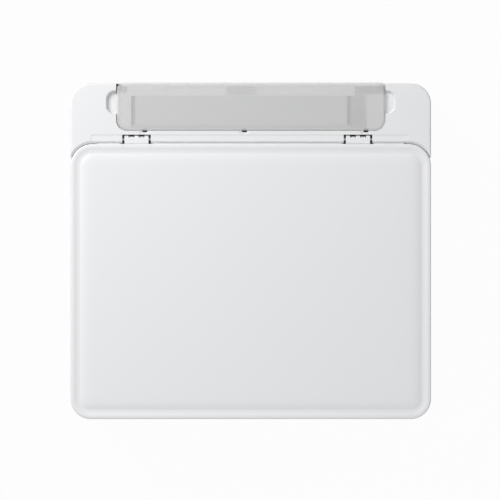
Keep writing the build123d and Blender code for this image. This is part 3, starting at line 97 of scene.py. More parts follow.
def plastic(name, colour, roughness=0.4, clouding=0.03, gloss_change=0.08, grain=900.0,
            depth=0.00002, edge=0.0005, coat=0.0, solid=1.0):
    finish, tree = new_finish(name)
    new, link = tree.nodes.new, tree.links.new
    shader = tree.nodes["Principled BSDF"]
    surface, bump = new("ShaderNodeGroup"), new("ShaderNodeBump")
    surface.node_tree = bpy.data.node_groups["moulded_surface"]
    for socket, value in (("Colour", (*colour, 1.0)), ("Clouding", clouding),
                          ("Roughness", roughness), ("Gloss Change", gloss_change),
                          ("Grain Scale", grain)):
        surface.inputs[socket].default_value = value
    bump.inputs["Distance"].default_value = depth
    bump.inputs["Strength"].default_value = 1.0
    link(surface.outputs["Colour"], shader.inputs["Base Color"])
    link(surface.outputs["Roughness"], shader.inputs["Roughness"])
    link(surface.outputs["Height"], bump.inputs["Height"])
    link(bump.outputs["Normal"], shader.inputs["Normal"])
    if edge:
        rounded = new("ShaderNodeBevel")
        rounded.samples = 6
        rounded.inputs["Radius"].default_value = edge
        link(rounded.outputs["Normal"], bump.inputs["Normal"])
    shader.inputs["Coat Weight"].default_value = coat
    shader.inputs["Coat Roughness"].default_value = 0.12
    shader.inputs["Alpha"].default_value = solid
    return finish


def add_object(name, data):
    made = bpy.data.objects.new(name, data)
    bpy.context.scene.collection.objects.link(made)
    return made


def mesh_of(shape, name):
    mesh = bpy.data.meshes.new(name)
    shape.to_mesh(mesh)
    shape.free()
    return mesh


def finished_copy(node, body, finish, sharp=32.0):
    shape = bmesh.new()
    shape.from_mesh(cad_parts[node].data)
    bmesh.ops.remove_doubles(shape, verts=shape.verts, dist=0.000002)
    for edge in shape.edges:
        turned = len(edge.link_faces) != 2 or edge.calc_face_angle(0.0) > math.radians(sharp)
        edge.smooth = not turned
    for face in shape.faces:
        face.smooth = True
        face.material_index = 0
    piece = add_object(node + "_moulding", mesh_of(shape, node + "_moulding"))
    piece.data.materials.append(finish)
    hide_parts(node)
    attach(piece, body)
    return piece


moulded_surface()
case_white = plastic("case_white", (0.80, 0.805, 0.815), roughness=0.42, grain=1400.0,
                     clouding=0.012)
for node in ("bottom_case", "main_case"):
    finished_copy(node, "base", case_white)

# Underside ribs. Shallow stiffening ribs moulded on the outside of the case floor, between
# the feet, so that the wide floor doesn't drum.
def metres(millimetres):
    return [value / 1000.0 for value in millimetres]


def new_piece(name, body, finish, shape):
    piece = add_object(name, mesh_of(shape, name))
    piece.data.materials.clear()    # this also sets every face to the first slot
    piece.data.materials.append(finish)
    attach(piece, body)
    return piece


def row_tree():
    tree = bpy.data.node_groups.new("moulded_row", "GeometryNodeTree")
    add_sockets(tree, "INPUT", (("Geometry", "Geometry"), ("Start", "Vector"),
                                ("Step", "Vector"), ("Count", "Int"), ("Size", "Vector"),
                                ("Finish", "Material")))
    add_sockets(tree, "OUTPUT", (("Geometry", "Geometry"),))
    new, link = tree.nodes.new, tree.links.new
    given, result = new("NodeGroupInput"), new("NodeGroupOutput")
    line, tooth = new("GeometryNodeMeshLine"), new("GeometryNodeMeshCube")
    placed, solid = new("GeometryNodeInstanceOnPoints"), new("GeometryNodeRealizeInstances")
    painted = new("GeometryNodeSetMaterial")
    link(given.outputs["Count"], line.inputs["Count"])
    link(given.outputs["Start"], line.inputs["Start Location"])
    link(given.outputs["Step"], line.inputs["Offset"])
    link(given.outputs["Size"], tooth.inputs["Size"])
    link(line.outputs["Mesh"], placed.inputs["Points"])
    link(tooth.outputs["Mesh"], placed.inputs["Instance"])
    link(placed.outputs["Instances"], solid.inputs["Geometry"])
    link(solid.outputs["Geometry"], painted.inputs["Geometry"])
    link(given.outputs["Finish"], painted.inputs["Material"])
    link(painted.outputs["Geometry"], result.inputs["Geometry"])


def grown(tree, values):
    holder = add_object("growing", bpy.data.meshes.new("growing"))
    modifier = holder.modifiers.new("grow", "NODES")
    modifier.node_group = tree
    for socket in tree.interface.items_tree:
        if socket.in_out == "INPUT" and socket.name in values:
            modifier[socket.identifier] = values[socket.name]
    evaluated = holder.evaluated_get(bpy.context.evaluated_depsgraph_get())
    mesh = bpy.data.meshes.new_from_object(evaluated)
    bpy.data.objects.remove(holder)
    return mesh


def rows_of_blocks(name, body, finish, rows):
    shape = bmesh.new()
    for start, step, count, size in rows:
        mesh = grown(bpy.data.node_groups["moulded_row"], {
            "Start": metres(start), "Step": metres(step), "Count": count,
            "Size": metres(size), "Finish": finish})
        shape.from_mesh(mesh)
        bpy.data.meshes.remove(mesh)
    return new_piece(name, body, finish, shape)


row_tree()
rib_z, rib_width, rib_relief = 2.25, 1.0, 0.6
rib_pitch, rib_length = 14.0, 190.0
cross_rib_pitch, cross_rib_length = 47.5, 267.0
rows_of_blocks("floor_ribs", "base", case_white, (
    ((-133.0, 0.0, rib_z), (rib_pitch, 0, 0), 20, (rib_width, rib_length, rib_relief)),
    ((0.0, -95.0, rib_z), (0, cross_rib_pitch, 0), 5,
     (cross_rib_length, rib_width, rib_relief))))

# Rubber feet. Four round grey pads pressed into the floor of the bottom case. Each has
# a moulded ring that grips the table.
def paint(finish, *nodes):
    for name in nodes:
        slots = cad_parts[name].data.materials
        slots.clear()
        slots.append(finish)


foot_rubber = plastic("foot_rubber", (0.075, 0.075, 0.078), roughness=0.82, grain=2600.0,
                      depth=0.00006, clouding=0.25)
paint(foot_rubber, "rubber_feet")

# Rear housing. The white moulding behind the scanner: deck, rear wall, hinge pockets and
# the seat of the see-through cover, all one piece with the case's satin texture.
finished_copy("rear_housing", "base", case_white)

# Rear access cover. A ribbed white door in the rear wall, opened to free jammed paper. It
# is moulded like the case and turns about its lower edge.
finished_copy("rear_access_cover", "rear_access_cover", case_white)

# Rear tray. The sloping chute is grey where paper runs and white at its left end, where a
# moulded ledge stands under the see-through cover.
def repaint(piece, finish, chosen):
    piece.data.materials.append(finish)
    number = len(piece.data.materials) - 1
    for face in piece.data.polygons:
        if chosen(face.center * 1000.0, face.normal):
            face.material_index = number


def block_piece(name, body, finish, blocks):
    shape = bmesh.new()
    for low, high in blocks:
        middle = metres((one + other) / 2.0 for one, other in zip(low, high))
        size = metres(other - one for one, other in zip(low, high))
        spot = Matrix.Translation(middle) @ Matrix.Diagonal((*size, 1.0))
        bmesh.ops.create_cube(shape, size=1.0, matrix=spot)
    return new_piece(name, body, finish, shape)


tray_white = plastic("tray_white", (0.85, 0.85, 0.85), roughness=0.5, grain=1100.0,
                     clouding=0.02)
tray_grey_and_recess_shade = plastic("tray_grey_and_recess_shade", (0.40, 0.40, 0.41), roughness=0.5, grain=1100.0,
                    clouding=0.02)
white_end_x = -121.0
tray = finished_copy("rear_tray", "base", tray_grey_and_recess_shade)
repaint(tray, tray_white, lambda place, out: place.x < white_end_x)
block_piece("tray_side_ledge", "base", tray_white,
            [((-136.8, 128.5, 134.2), (-125.0, 165.0, 135.4))])

# Frames, rail and shafts. Black side frames carry a folded steel rail; the rolling marks run
# along the sheet.
def brushed_metal(name, colour, roughness, stretch):
    finish, tree = new_finish(name)
    new, link = tree.nodes.new, tree.links.new
    shader = tree.nodes["Principled BSDF"]
    place, turn = new("ShaderNodeTexCoord"), new("ShaderNodeMapping")
    turn.inputs["Scale"].default_value = stretch
    noise, ramp = new("ShaderNodeTexNoise"), new("ShaderNodeValToRGB")
    noise.inputs["Scale"].default_value = 900.0
    noise.inputs["Detail"].default_value = 5.0
    dark = [channel * 0.82 for channel in colour]
    for stop, shade, position in zip(ramp.color_ramp.elements, (dark, colour), (0.3, 0.7)):
        stop.color = (*shade, 1.0)
        stop.position = position
    spread, bump = new("ShaderNodeMapRange"), new("ShaderNodeBump")
    spread.inputs["To Min"].default_value = roughness * 0.8
    spread.inputs["To Max"].default_value = roughness * 1.25
    bump.inputs["Distance"].default_value = 0.00001
    link(place.outputs["Object"], turn.inputs["Vector"])
    link(turn.outputs["Vector"], noise.inputs["Vector"])
    link(noise.outputs["Fac"], ramp.inputs["Fac"])
    link(noise.outputs["Fac"], spread.inputs["Value"])
    link(noise.outputs["Fac"], bump.inputs["Height"])
    link(ramp.outputs["Color"], shader.inputs["Base Color"])
    link(spread.outputs["Result"], shader.inputs["Roughness"])
    link(bump.outputs["Normal"], shader.inputs["Normal"])
    shader.inputs["Metallic"].default_value = 1.0
    return finish


sheet_steel = brushed_metal("sheet_steel", (0.62, 0.63, 0.65), 0.33, (0.04, 1.0, 1.0))
turned_steel = brushed_metal("turned_steel", (0.68, 0.68, 0.69), 0.22, (1.0, 0.05, 0.05))
frame_black = plastic("frame_black", (0.035, 0.035, 0.038), roughness=0.5, grain=1500.0,
                      clouding=0.15)
paint(sheet_steel, "carriage_rail")
paint(turned_steel, "hinge_pins", "scan_rod")
paint(frame_black, "side_frames")
finished_copy("feed_roller", "feed_roller", turned_steel)

# Drive train. Acetal gears in the plastic's own colour turn the feed and eject rollers
# from a small motor with a drawn steel can; a second motor draws the belt.
gear_plastic = plastic("gear_plastic", (0.76, 0.74, 0.68), roughness=0.34, grain=700.0,
                       clouding=0.06, edge=0.00015)
paint(gear_plastic, "feed_gear", "idler_gear", "motor_pinion", "motor_pulley",
      "idler_pulley", "paper_guide_pinion", "cassette_pinion")
motor_can = brushed_metal("motor_can", (0.60, 0.61, 0.60), 0.30, (1.0, 1.0, 0.05))
for node in ("feed_motor", "carriage_motor"):
    finished_copy(node, "base", motor_can)

# Rollers. Black plastic shafts carry ground rubber tyres, matt and slightly dusty; the
# gear pressed on the left end of the eject shaft is acetal.
def axis_distance(place, axis_y, axis_z):
    return math.hypot(place.y - axis_y, place.z - axis_z)


tyre_rubber = plastic("tyre_rubber", (0.10, 0.10, 0.105), roughness=0.88, grain=3200.0,
                      depth=0.00008, clouding=0.3, edge=0.0003)
shaft_radius, gear_end_x = 3.3, -158.3
for node, axis_y, axis_z in (("eject_roller", 44.0, 50.0), ("pickup_roller", 119.76, 81.18)):
    roller = finished_copy(node, node, tyre_rubber)
    repaint(roller, frame_black,
            lambda place, out: axis_distance(place, axis_y, axis_z) < shaft_radius)
    if node == "eject_roller":
        repaint(roller, gear_plastic, lambda place, out: place.x < gear_end_x
                and axis_distance(place, axis_y, axis_z) > shaft_radius)

# Belt. A rubber loop round two pulleys draws the carriage along its rail. Its inner face
# has small square teeth at a two-millimetre pitch, drawn along both straight runs.
belt_rubber = plastic("belt_rubber", (0.028, 0.028, 0.03), roughness=0.7, grain=2800.0,
                      clouding=0.2, edge=0.0)
finished_copy("carriage_belt", "base", belt_rubber)
first_tooth_x, belt_y, tooth_pitch, tooth_count = -138.0, 101.3, 2.0, 139
tooth_size, upper_run_z, lower_run_z = (1.0, 4.0, 0.7), 91.45, 82.55
rows_of_blocks("belt_teeth", "base", belt_rubber, [
    ((first_tooth_x, belt_y, run_z), (tooth_pitch, 0, 0), tooth_count, tooth_size)
    for run_z in (upper_run_z, lower_run_z)])

# Platen, purge unit, power supply and mains inlet. Black glass-filled mouldings, duller
# than the case, screwed to the floor of the case.
paint(frame_black, "platen", "purge_unit", "power_supply", "power_inlet")

# Main board. A green glass-epoxy board on posts in the right side of the case, with copper
# tracks under the lacquer. It carries black epoxy chips with tinned legs and aluminium
# capacitors.
def board_finish():
    finish, tree = new_finish("circuit_board")
    new, link = tree.nodes.new, tree.links.new
    shader = tree.nodes["Principled BSDF"]
    place, turn = new("ShaderNodeTexCoord"), new("ShaderNodeMapping")
    turn.inputs["Rotation"].default_value = (0.0, math.pi / 2, 0.0)
    tracks, ramp = new("ShaderNodeTexBrick"), new("ShaderNodeValToRGB")
    tracks.inputs["Scale"].default_value = 90.0
    tracks.inputs["Mortar Size"].default_value = 0.03
    tracks.inputs["Color1"].default_value = (0.0, 0.0, 0.0, 1.0)
    tracks.inputs["Color2"].default_value = (0.35, 0.35, 0.35, 1.0)
    tracks.inputs["Mortar"].default_value = (1.0, 1.0, 1.0, 1.0)
    ramp.color_ramp.elements[0].color = (0.008, 0.075, 0.035, 1.0)
    ramp.color_ramp.elements[1].color = (0.03, 0.19, 0.09, 1.0)
    bump = new("ShaderNodeBump")
    bump.inputs["Distance"].default_value = 0.00003
    link(place.outputs["Object"], turn.inputs["Vector"])
    link(turn.outputs["Vector"], tracks.inputs["Vector"])
    link(tracks.outputs["Color"], ramp.inputs["Fac"])
    link(tracks.outputs["Fac"], bump.inputs["Height"])
    link(ramp.outputs["Color"], shader.inputs["Base Color"])
    link(bump.outputs["Normal"], shader.inputs["Normal"])
    shader.inputs["Roughness"].default_value = 0.28
    shader.inputs["Coat Weight"].default_value = 0.4
    return finish


def rods(places_and_radii, axis, length, sides, rounding, round_steps, flat_ends):
    shape = bmesh.new()
    for place, radius in places_and_radii:
        spot = Matrix.Translation(metres(place)) @ Matrix.Rotation(math.pi / 2, 4, axis)
        bmesh.ops.create_cone(shape, cap_ends=True, segments=sides, radius1=radius / 1000.0,
                              radius2=radius / 1000.0, depth=length / 1000.0, matrix=spot)
    rims = [edge for edge in shape.edges if edge.calc_face_angle(0) > 1.0]
    bmesh.ops.bevel(shape, geom=rims, offset=rounding / 1000.0, segments=round_steps,
                    affect="EDGES")
    for face in shape.faces:
        face.smooth = len(face.verts) == 4 or not flat_ends
    return shape


chip_black = plastic("chip_black", (0.018, 0.018, 0.02), roughness=0.55, grain=2500.0)
board = finished_copy("main_board", "base", board_finish())
board_face_x = 180.4
repaint(board, chip_black, lambda place, out: place.x < board_face_x)
zinc = brushed_metal("zinc_plate", (0.60, 0.60, 0.58), 0.3, (1.0, 1.0, 1.0))
leg_pitch, leg_x, leg_reach, leg_size = 1.27, 180.2, 0.6, (0.6, 0.5, 1.6)
bare_end = 3    # both ends of a chip's side together, where no leg stands
leg_rows = []
for chip_y, chip_z, chip_width, chip_height in ((-40, 34, 22, 22), (-8, 30, 14, 14),
                                                (20, 38, 18, 10), (42, 20, 10, 16)):
    leg_count = int((chip_width - bare_end) / leg_pitch)
    first_leg_y = chip_y - (leg_count - 1) * leg_pitch / 2.0
    for side in (-1, 1):
        leg_z = chip_z + side * (chip_height / 2 + leg_reach)
        leg_rows.append(((leg_x, first_leg_y, leg_z), (0, leg_pitch, 0), leg_count, leg_size))
rows_of_blocks("chip_legs", "base", zinc, leg_rows)
can_x, can_z = 176.7, 14.0
cans = rods([((can_x, y, can_z), radius) for y, radius in (
    (-62.0, 3.2), (-54.0, 3.2), (10.0, 4.0), (24.0, 2.6))], "Y", length=7.6, sides=28,
    rounding=0.4, round_steps=2, flat_ends=True)
new_piece("capacitors", "base", motor_can, cans)

# Sockets. Two nickel pins stand in the mains inlet; the square data socket is a folded
# metal shell with a white insulating tongue that carries four gold contacts.
socket_metal = brushed_metal("socket_metal", (0.72, 0.72, 0.70), 0.2, (1.0, 0.1, 1.0))
paint(socket_metal, "usb_port")
pin_y, pin_z, pin_radius = 166.4, 46.0, 1.3
pins = rods([((x, pin_y, pin_z), pin_radius) for x in (-154.2, -145.8)], "X", length=9.8,
            sides=24, rounding=0.5, round_steps=3, flat_ends=False)
new_piece("inlet_pins", "base", socket_metal, pins)
tongue_centre, tongue_size = (146.0, 167.7, 62.0), (6.1, 8.2, 2.5)
rows_of_blocks("data_socket_tongue", "base", tray_white, (
    (tongue_centre, (0, 1, 0), 1, tongue_size),))
gold = brushed_metal("contact_gold", (0.83, 0.62, 0.25), 0.25, (1.0, 0.1, 1.0))
contact_pitch, contact_size = 2.2, (0.9, 6.5, 0.16)
rows_of_blocks("data_socket_contacts", "base", gold, [
    ((144.9, 168.2, contact_z), (contact_pitch, 0, 0), 2, contact_size)
    for contact_z in (63.28, 60.72)])

# Screws. Zinc-plated pan heads with a cross recess hold the floor, frames, board and rear
# wall. One head is drawn, then set at each point and turned to face outwards.
def join_loops(shape, low, high):
    for place in range(len(low)):
        after = (place + 1) % len(low)
        shape.faces.new((low[place], low[after], high[after], high[place]))


def loop_edges(loop, make):
    return [make((loop[place], loop[(place + 1) % len(loop)])) for place in range(len(loop))]


def screw_head():
    shape = bmesh.new()
    arm, core, top, recess_z, taper, sides = 1.5, 0.45, 1.15, 0.35, 0.7, 24
    cross = [(core, core), (core, arm), (-core, arm), (-core, core), (-arm, core),
             (-arm, -core), (-core, -core), (-core, -arm), (core, -arm), (core, -core),
             (arm, -core), (arm, core)]
    round_edge = [(math.cos(math.tau * step / sides), math.sin(math.tau * step / sides))
                  for step in range(sides)]
    rings = [[shape.verts.new((x * radius, y * radius, height)) for x, y in round_edge]
             for radius, height in ((2.7, 0.0), (2.7, 0.45), (2.5, 0.85), (2.1, top))]
    for low, high in zip(rings, rings[1:]):
        join_loops(shape, low, high)
    shape.faces.new(list(reversed(rings[0])))
    mouth = [shape.verts.new((x, y, top)) for x, y in cross]
    foot = [shape.verts.new((x * taper, y * taper, recess_z)) for x, y in cross]
    rim = loop_edges(mouth, shape.edges.new) + loop_edges(rings[-1], shape.edges.get)
    bmesh.ops.triangle_fill(shape, edges=rim, use_beauty=True)
    join_loops(shape, mouth, foot)
    shape.faces.new(foot)
    bmesh.ops.recalc_face_normals(shape, faces=shape.faces)
    bmesh.ops.scale(shape, vec=(0.001, 0.001, 0.001), verts=shape.verts)
    return shape


def screw_tree():
    tree = bpy.data.node_groups.new("set_screws", "GeometryNodeTree")
    add_sockets(tree, "INPUT", (("Geometry", "Geometry"), ("Head", "Object"),
                                ("Places", "Object"), ("Turn", "Vector"),
                                ("Finish", "Material")))
    add_sockets(tree, "OUTPUT", (("Geometry", "Geometry"),))
    new, link = tree.nodes.new, tree.links.new
    given, result = new("NodeGroupInput"), new("NodeGroupOutput")
    head, places = new("GeometryNodeObjectInfo"), new("GeometryNodeObjectInfo")
    placed, solid = new("GeometryNodeInstanceOnPoints"), new("GeometryNodeRealizeInstances")
    painted, turn = new("GeometryNodeSetMaterial"), new("FunctionNodeEulerToRotation")
    link(given.outputs["Head"], head.inputs["Object"])
    link(given.outputs["Places"], places.inputs["Object"])
    link(given.outputs["Turn"], turn.inputs["Euler"])
    link(places.outputs["Geometry"], placed.inputs["Points"])
    link(head.outputs["Geometry"], placed.inputs["Instance"])
    link(turn.outputs["Rotation"], placed.inputs["Rotation"])
    link(placed.outputs["Instances"], solid.inputs["Geometry"])
    link(solid.outputs["Geometry"], painted.inputs["Geometry"])
    link(given.outputs["Finish"], painted.inputs["Material"])
    link(painted.outputs["Geometry"], result.inputs["Geometry"])
    return tree


downwards, backwards = (math.pi, 0, 0), (-math.pi / 2, 0, 0)
to_left, to_right = (0, -math.pi / 2, 0), (0, math.pi / 2, 0)
floor_z, board_x, frame_x, rear_wall_y, rear_wall_z = 2.5, 180.5, 158.0, 174.25, 36.0
frame_spots = ((40, 11), (126, 11), (122, 84))
screw_groups = (
    (downwards, [(x, y, floor_z) for x in (-152, 152) for y in (-118, 0, 118)]),
    (to_left, [(board_x, y, z) for y in (-65, 55) for z in (10, 48)]),
    (to_right, [(frame_x, y, z) for y, z in frame_spots]),
    (to_left, [(-frame_x, y, z) for y, z in frame_spots]),
    (backwards, [(x, rear_wall_y, rear_wall_z) for x in (-166, 166)]))
head_pattern = add_object("screw_head", mesh_of(screw_head(), "screw_head"))
fasteners = bmesh.new()
set_screws = screw_tree()
for turn, places in screw_groups:
    points = bpy.data.meshes.new("screw_places")
    points.from_pydata([metres(place) for place in places], [], [])
    marker = add_object("screw_places", points)
    fasteners.from_mesh(grown(set_screws, {"Head": head_pattern, "Places": marker,
                                           "Turn": turn, "Finish": zinc}))
    bpy.data.objects.remove(marker)
bpy.data.objects.remove(head_pattern)
new_piece("screws", "base", zinc, fasteners)

# Scanner housing and bezel. The white box on the rear hinges that carries the glass; the
# bezel screws down over it and holds the glass by its edge.
bezel_white = plastic("bezel_white", (0.78, 0.785, 0.79), roughness=0.36, grain=1200.0,
                      clouding=0.012)
finished_copy("scanner_housing", "scanner_unit", case_white)
finished_copy("scanner_bezel", "scanner_unit", bezel_white)

# Platen glass. Clear float glass, faintly green at its edge and a little smeared by hands,
# laid in the bezel over the moving sensor.
def clear_glass(name, colour, roughness, ior):
    finish, tree = new_finish(name)
    new, link = tree.nodes.new, tree.links.new
    shader = tree.nodes["Principled BSDF"]
    place, smear = new("ShaderNodeTexCoord"), new("ShaderNodeTexNoise")
    spread = new("ShaderNodeMapRange")
    smear.inputs["Scale"].default_value = 14.0
    smear.inputs["Detail"].default_value = 6.0
    spread.inputs["To Min"].default_value = roughness * 0.6
    spread.inputs["To Max"].default_value = roughness * 1.6
    link(place.outputs["Object"], smear.inputs["Vector"])
    link(smear.outputs["Fac"], spread.inputs["Value"])
    link(spread.outputs["Result"], shader.inputs["Roughness"])
    shader.inputs["Base Color"].default_value = (*colour, 1.0)
    shader.inputs["Transmission Weight"].default_value = 1.0
    shader.inputs["IOR"].default_value = ior
    return finish


paint(clear_glass("float_glass", (0.93, 0.97, 0.95), 0.012, 1.52), "platen_glass")

# Image sensor. A black bar under the glass. A row of fine glass rods under a clear strip
# shows through the platen glass as a dark line with a bright edge.
sensor_black = plastic("sensor_black", (0.03, 0.03, 0.032), roughness=0.38, grain=1300.0,
                       clouding=0.1)
paint(sensor_black, "image_sensor")
lens_glass = clear_glass("lens_glass", (0.75, 0.85, 0.82), 0.06, 1.5)
lens_x, lens_front, lens_rear, lens_z = -139.5, -140.0, 70.0, 122.4
lens_half, crown_half, lens_wall, lens_crown, lens_steps = 3.3, 3.135, 0.3, 0.35, 10
lens_section = [(-lens_half, 0.0)]
for step in range(lens_steps + 1):
    angle = math.pi * step / lens_steps
    lens_section.append((-crown_half * math.cos(angle),
                         lens_wall + lens_crown * math.sin(angle)))
lens_section.append((lens_half, 0.0))
lens_strip = bmesh.new()
front_end, rear_end = [[lens_strip.verts.new(metres((lens_x + x, y, lens_z + z)))
                        for x, z in lens_section] for y in (lens_front, lens_rear)]
join_loops(lens_strip, front_end, rear_end)
lens_strip.faces.new(front_end)
lens_strip.faces.new(list(reversed(rear_end)))
bmesh.ops.recalc_face_normals(lens_strip, faces=lens_strip.faces)
new_piece("sensor_lens", "image_sensor", lens_glass, lens_strip)

# Document cover. A hollow white lid: a flat rim, a narrow moulded groove, then a soft roll
# up to a wide, barely crowned top. It is one injection moulding, lightly textured, and its
# outline is drawn ring by ring from the edge inwards so that the roll stays smooth.
def rounded_ring(sides, corners, least, inset, z, steps=14):
    left, right, front, rear = sides
    points = []
    quarters = ((right, 1, rear, 1), (left, -1, rear, 1), (left, -1, front, -1),
                (right, 1, front, -1))
    for number, (side, across, edge, along) in enumerate(quarters):
        radius = max(corners[number] - inset, least)
        centre_x = side - across * (inset + radius)
        centre_y = edge - along * (inset + radius)
        for step in range(steps + 1):
            angle = math.radians(90.0 * (number + step / steps))
            points.append((centre_x + radius * math.cos(angle),
                           centre_y + radius * math.sin(angle), z))
    return points


def ring_stack(name, sides, corners, least, profile, sharp=40.0):
    shape = bmesh.new()
    rings = [[shape.verts.new(metres(point))
              for point in rounded_ring(sides, corners, least, inset, z)]
             for inset, z in profile]
    for low, high in zip(rings, rings[1:]):
        join_loops(shape, low, high)
    shape.faces.new(rings[-1])
    shape.faces.new(list(reversed(rings[0])))
    bmesh.ops.recalc_face_normals(shape, faces=shape.faces)
    for face in shape.faces:
        face.smooth = True
    for edge in shape.edges:
        edge.smooth = edge.calc_face_angle(0.0) < math.radians(sharp)
    return add_object(name, mesh_of(shape, name))


cover_sides = (-188.0, 188.0, -175.5, 111.3)
cover_corners = (23.0, 23.0, 21.0, 21.0)
cover_top_corner = 8.0
cover_profile = (
    (2.5, 136.3), (2.5, 128.4), (2.3, 128.2), (0.25, 128.2), (0.0, 128.45), (0.0, 134.0),
    (0.0, 140.5), (0.08, 141.1), (0.32, 141.6), (0.7, 141.95), (1.15, 142.13),
    (1.7, 142.2), (2.8, 142.22), (3.7, 142.18), (4.2, 142.1), (4.7, 141.96), (5.2, 141.8),
    (5.8, 141.64), (6.6, 141.5), (7.6, 141.38), (8.6, 141.3), (9.4, 141.28), (10.0, 141.34),
    (10.6, 141.48), (11.4, 141.7), (12.4, 141.95), (13.6, 142.2), (15.0, 142.42),
    (16.6, 142.6), (18.4, 142.74), (21.0, 142.85), (26.0, 142.93), (40.0, 142.97),
    (70.0, 143.0), (110.0, 143.0))
cover_white = plastic("cover_white", (0.80, 0.805, 0.815), roughness=0.45, grain=1600.0,
                      clouding=0.008, gloss_change=0.03, edge=0.0, depth=0.000012)
lid = ring_stack("document_cover_shell", cover_sides, cover_corners, cover_top_corner,
                 cover_profile)
lid.data.materials.append(cover_white)
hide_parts("document_cover")
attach(lid, "document_cover")
paint(case_white, "cover_liner")

# Rear lip and knuckles of the cover. Between and beside the hinges the lid carries a thin
# strip that covers the slit to the deck, low and narrow enough to swing past the deck's
# bevel. The knuckles are moulded with the liner.
lip_front, lip_rear, lip_low, lip_high = 110.9, 111.98, 137.95, 139.7
block_piece("cover_rear_lip", "document_cover", cover_white,
            [((left, lip_front, lip_low), (right, lip_rear, lip_high))
             for left, right in ((-160.0, -136.0), (-102.4, 95.1), (128.7, 160.0))])
finished_copy("cover_hinges", "document_cover", case_white)

# Cover pad. Thin white foam behind a wiped film, glued to the liner. It presses the paper
# on the glass, so its lower face is barely crowned and its cut edge is drawn in softly.
pad_foam = plastic("pad_foam", (0.80, 0.80, 0.79), roughness=0.75, grain=420.0,
                   depth=0.00012, clouding=0.05, edge=0.0)
pad_low, pad_high = [Vector(corner) * 1000.0 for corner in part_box("cover_pad")]
pad_corner, pad_least_corner = 6.0, 3.0
pad_section = ((0.0, 1.0), (0.0, 0.72), (0.25, 0.48), (0.7, 0.3), (1.4, 0.18), (2.6, 0.12),
               (6.0, 0.09), (20.0, 0.04), (50.0, 0.01), (90.0, 0.0))
pad = ring_stack("cover_pad_foam", (pad_low.x, pad_high.x, pad_low.y, pad_high.y),
                 (pad_corner,) * 4, pad_least_corner,
                 [(inset, pad_low.z + lift * (pad_high.z - pad_low.z))
                  for inset, lift in pad_section])
pad.data.materials.append(pad_foam)
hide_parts("cover_pad")
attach(pad, "document_cover")

# Rear tray cover. Smoked see-through plastic, slightly milky, so that the tray below shows
# dimly. Its left rear corner is cut back in a round. A black rubber pad below that corner is
# painted shade that darkens the corner gap.
smoked = plastic("smoked_clear", (0.80, 0.80, 0.80), roughness=0.10, clouding=0.02,
                 gloss_change=0.04, grain=500.0, depth=0.000004, edge=0.0006, solid=0.5)
tray_cover = finished_copy("rear_tray_cover", "rear_tray_cover", smoked)
corner_radius, corner_left, corner_rear, hair = 0.0085, -0.140, 0.1755, 0.00005
middle = Vector((corner_left + corner_radius, corner_rear - corner_radius))
shape = bmesh.new()
shape.from_mesh(tray_cover.data)
for foot, normal in (((middle.x, 0, 0), (1, 0, 0)), ((0, middle.y, 0), (0, 1, 0))):
    bmesh.ops.bisect_plane(shape, geom=shape.verts[:] + shape.edges[:] + shape.faces[:],
                           plane_co=foot, plane_no=normal)
for point in shape.verts:
    out = point.co.xy - middle
    on_plate = point.co.x > corner_left - hair
    if on_plate and out.x < 0.0 < out.y and out.length > corner_radius:
        point.co.xy = middle + out * (corner_radius / out.length)
shape.to_mesh(tray_cover.data)
shape.free()
# Painted shade: a black pad on the trough floor, seen through the corner cut as a dark gap.
block_piece("hinge_stop_pad", "base", foot_rubber,
            [((-140.4, 169.5, 126.9), (-135.0, 174.3, 127.2))])

# Paper support and cover bar. The support is the same plastic with a faint blue cast. The
# white bar stiffens the cover's rear edge. Its recess floors are painted paler white as
# painted light, and its recess walls and deeper latch pocket floor are painted grey as painted
# shade.
support_clear = plastic("support_clear", (0.79, 0.80, 0.84), roughness=0.10, clouding=0.02,
                        gloss_change=0.04, grain=500.0, depth=0.000004, edge=0.0006, solid=0.5)
finished_copy("paper_support", "paper_support", support_clear)
# A paler white, used only as painted light on the bar's recess floors.
recess_painted_light = plastic("recess_painted_light", (0.95, 0.95, 0.95), roughness=0.5, grain=1100.0,
                       clouding=0.02)
bar = finished_copy("tray_cover_bar", "rear_tray_cover", tray_white)
bar_drop, recess_floor, recess_rim, latch_floor = 0.0003, 135.0, 136.7, 134.5
floor_band, recess_front, recess_rear = 0.3, 164.0, 170.0
for point in bar.data.vertices:
    point.co.z -= bar_drop
# Painted light: the up-facing recess floors of the white bar are painted paler white.
repaint(bar, recess_painted_light, lambda place, out: out.z > 0.9
        and recess_floor < place.z < recess_floor + floor_band)
# Painted shade: the recess side walls are painted grey.
repaint(bar, tray_grey_and_recess_shade, lambda place, out: abs(out.z) < 0.5
        and recess_floor < place.z < recess_rim and recess_front < place.y < recess_rear)
# Painted shade: the floor of the deeper latch pocket is painted grey.
repaint(bar, tray_grey_and_recess_shade, lambda place, out: out.z > 0.9 and place.z < latch_floor)

# Feed slot cover and paper guides. Light grey mouldings that turn and slide in the rear
# tray and in the cassette, in the colour of all the trays' moving parts.
inner_grey = plastic("inner_grey", (0.44, 0.45, 0.47), roughness=0.46, grain=1300.0,
                     clouding=0.03)
for node in ("feed_slot_cover", "paper_guide_left", "paper_guide_right",
             "cassette_guide_left", "cassette_guide_right"):
    finished_copy(node, node, inner_grey)

# Cassette, output tray and its extension. The white front of the cassette is the bottom
# of the printer's face; the trays inside are plainer.
finished_copy("cassette_tray", "cassette", case_white)
finished_copy("output_tray", "output_tray", case_white)
finished_copy("output_extension", "output_extension", inner_grey)

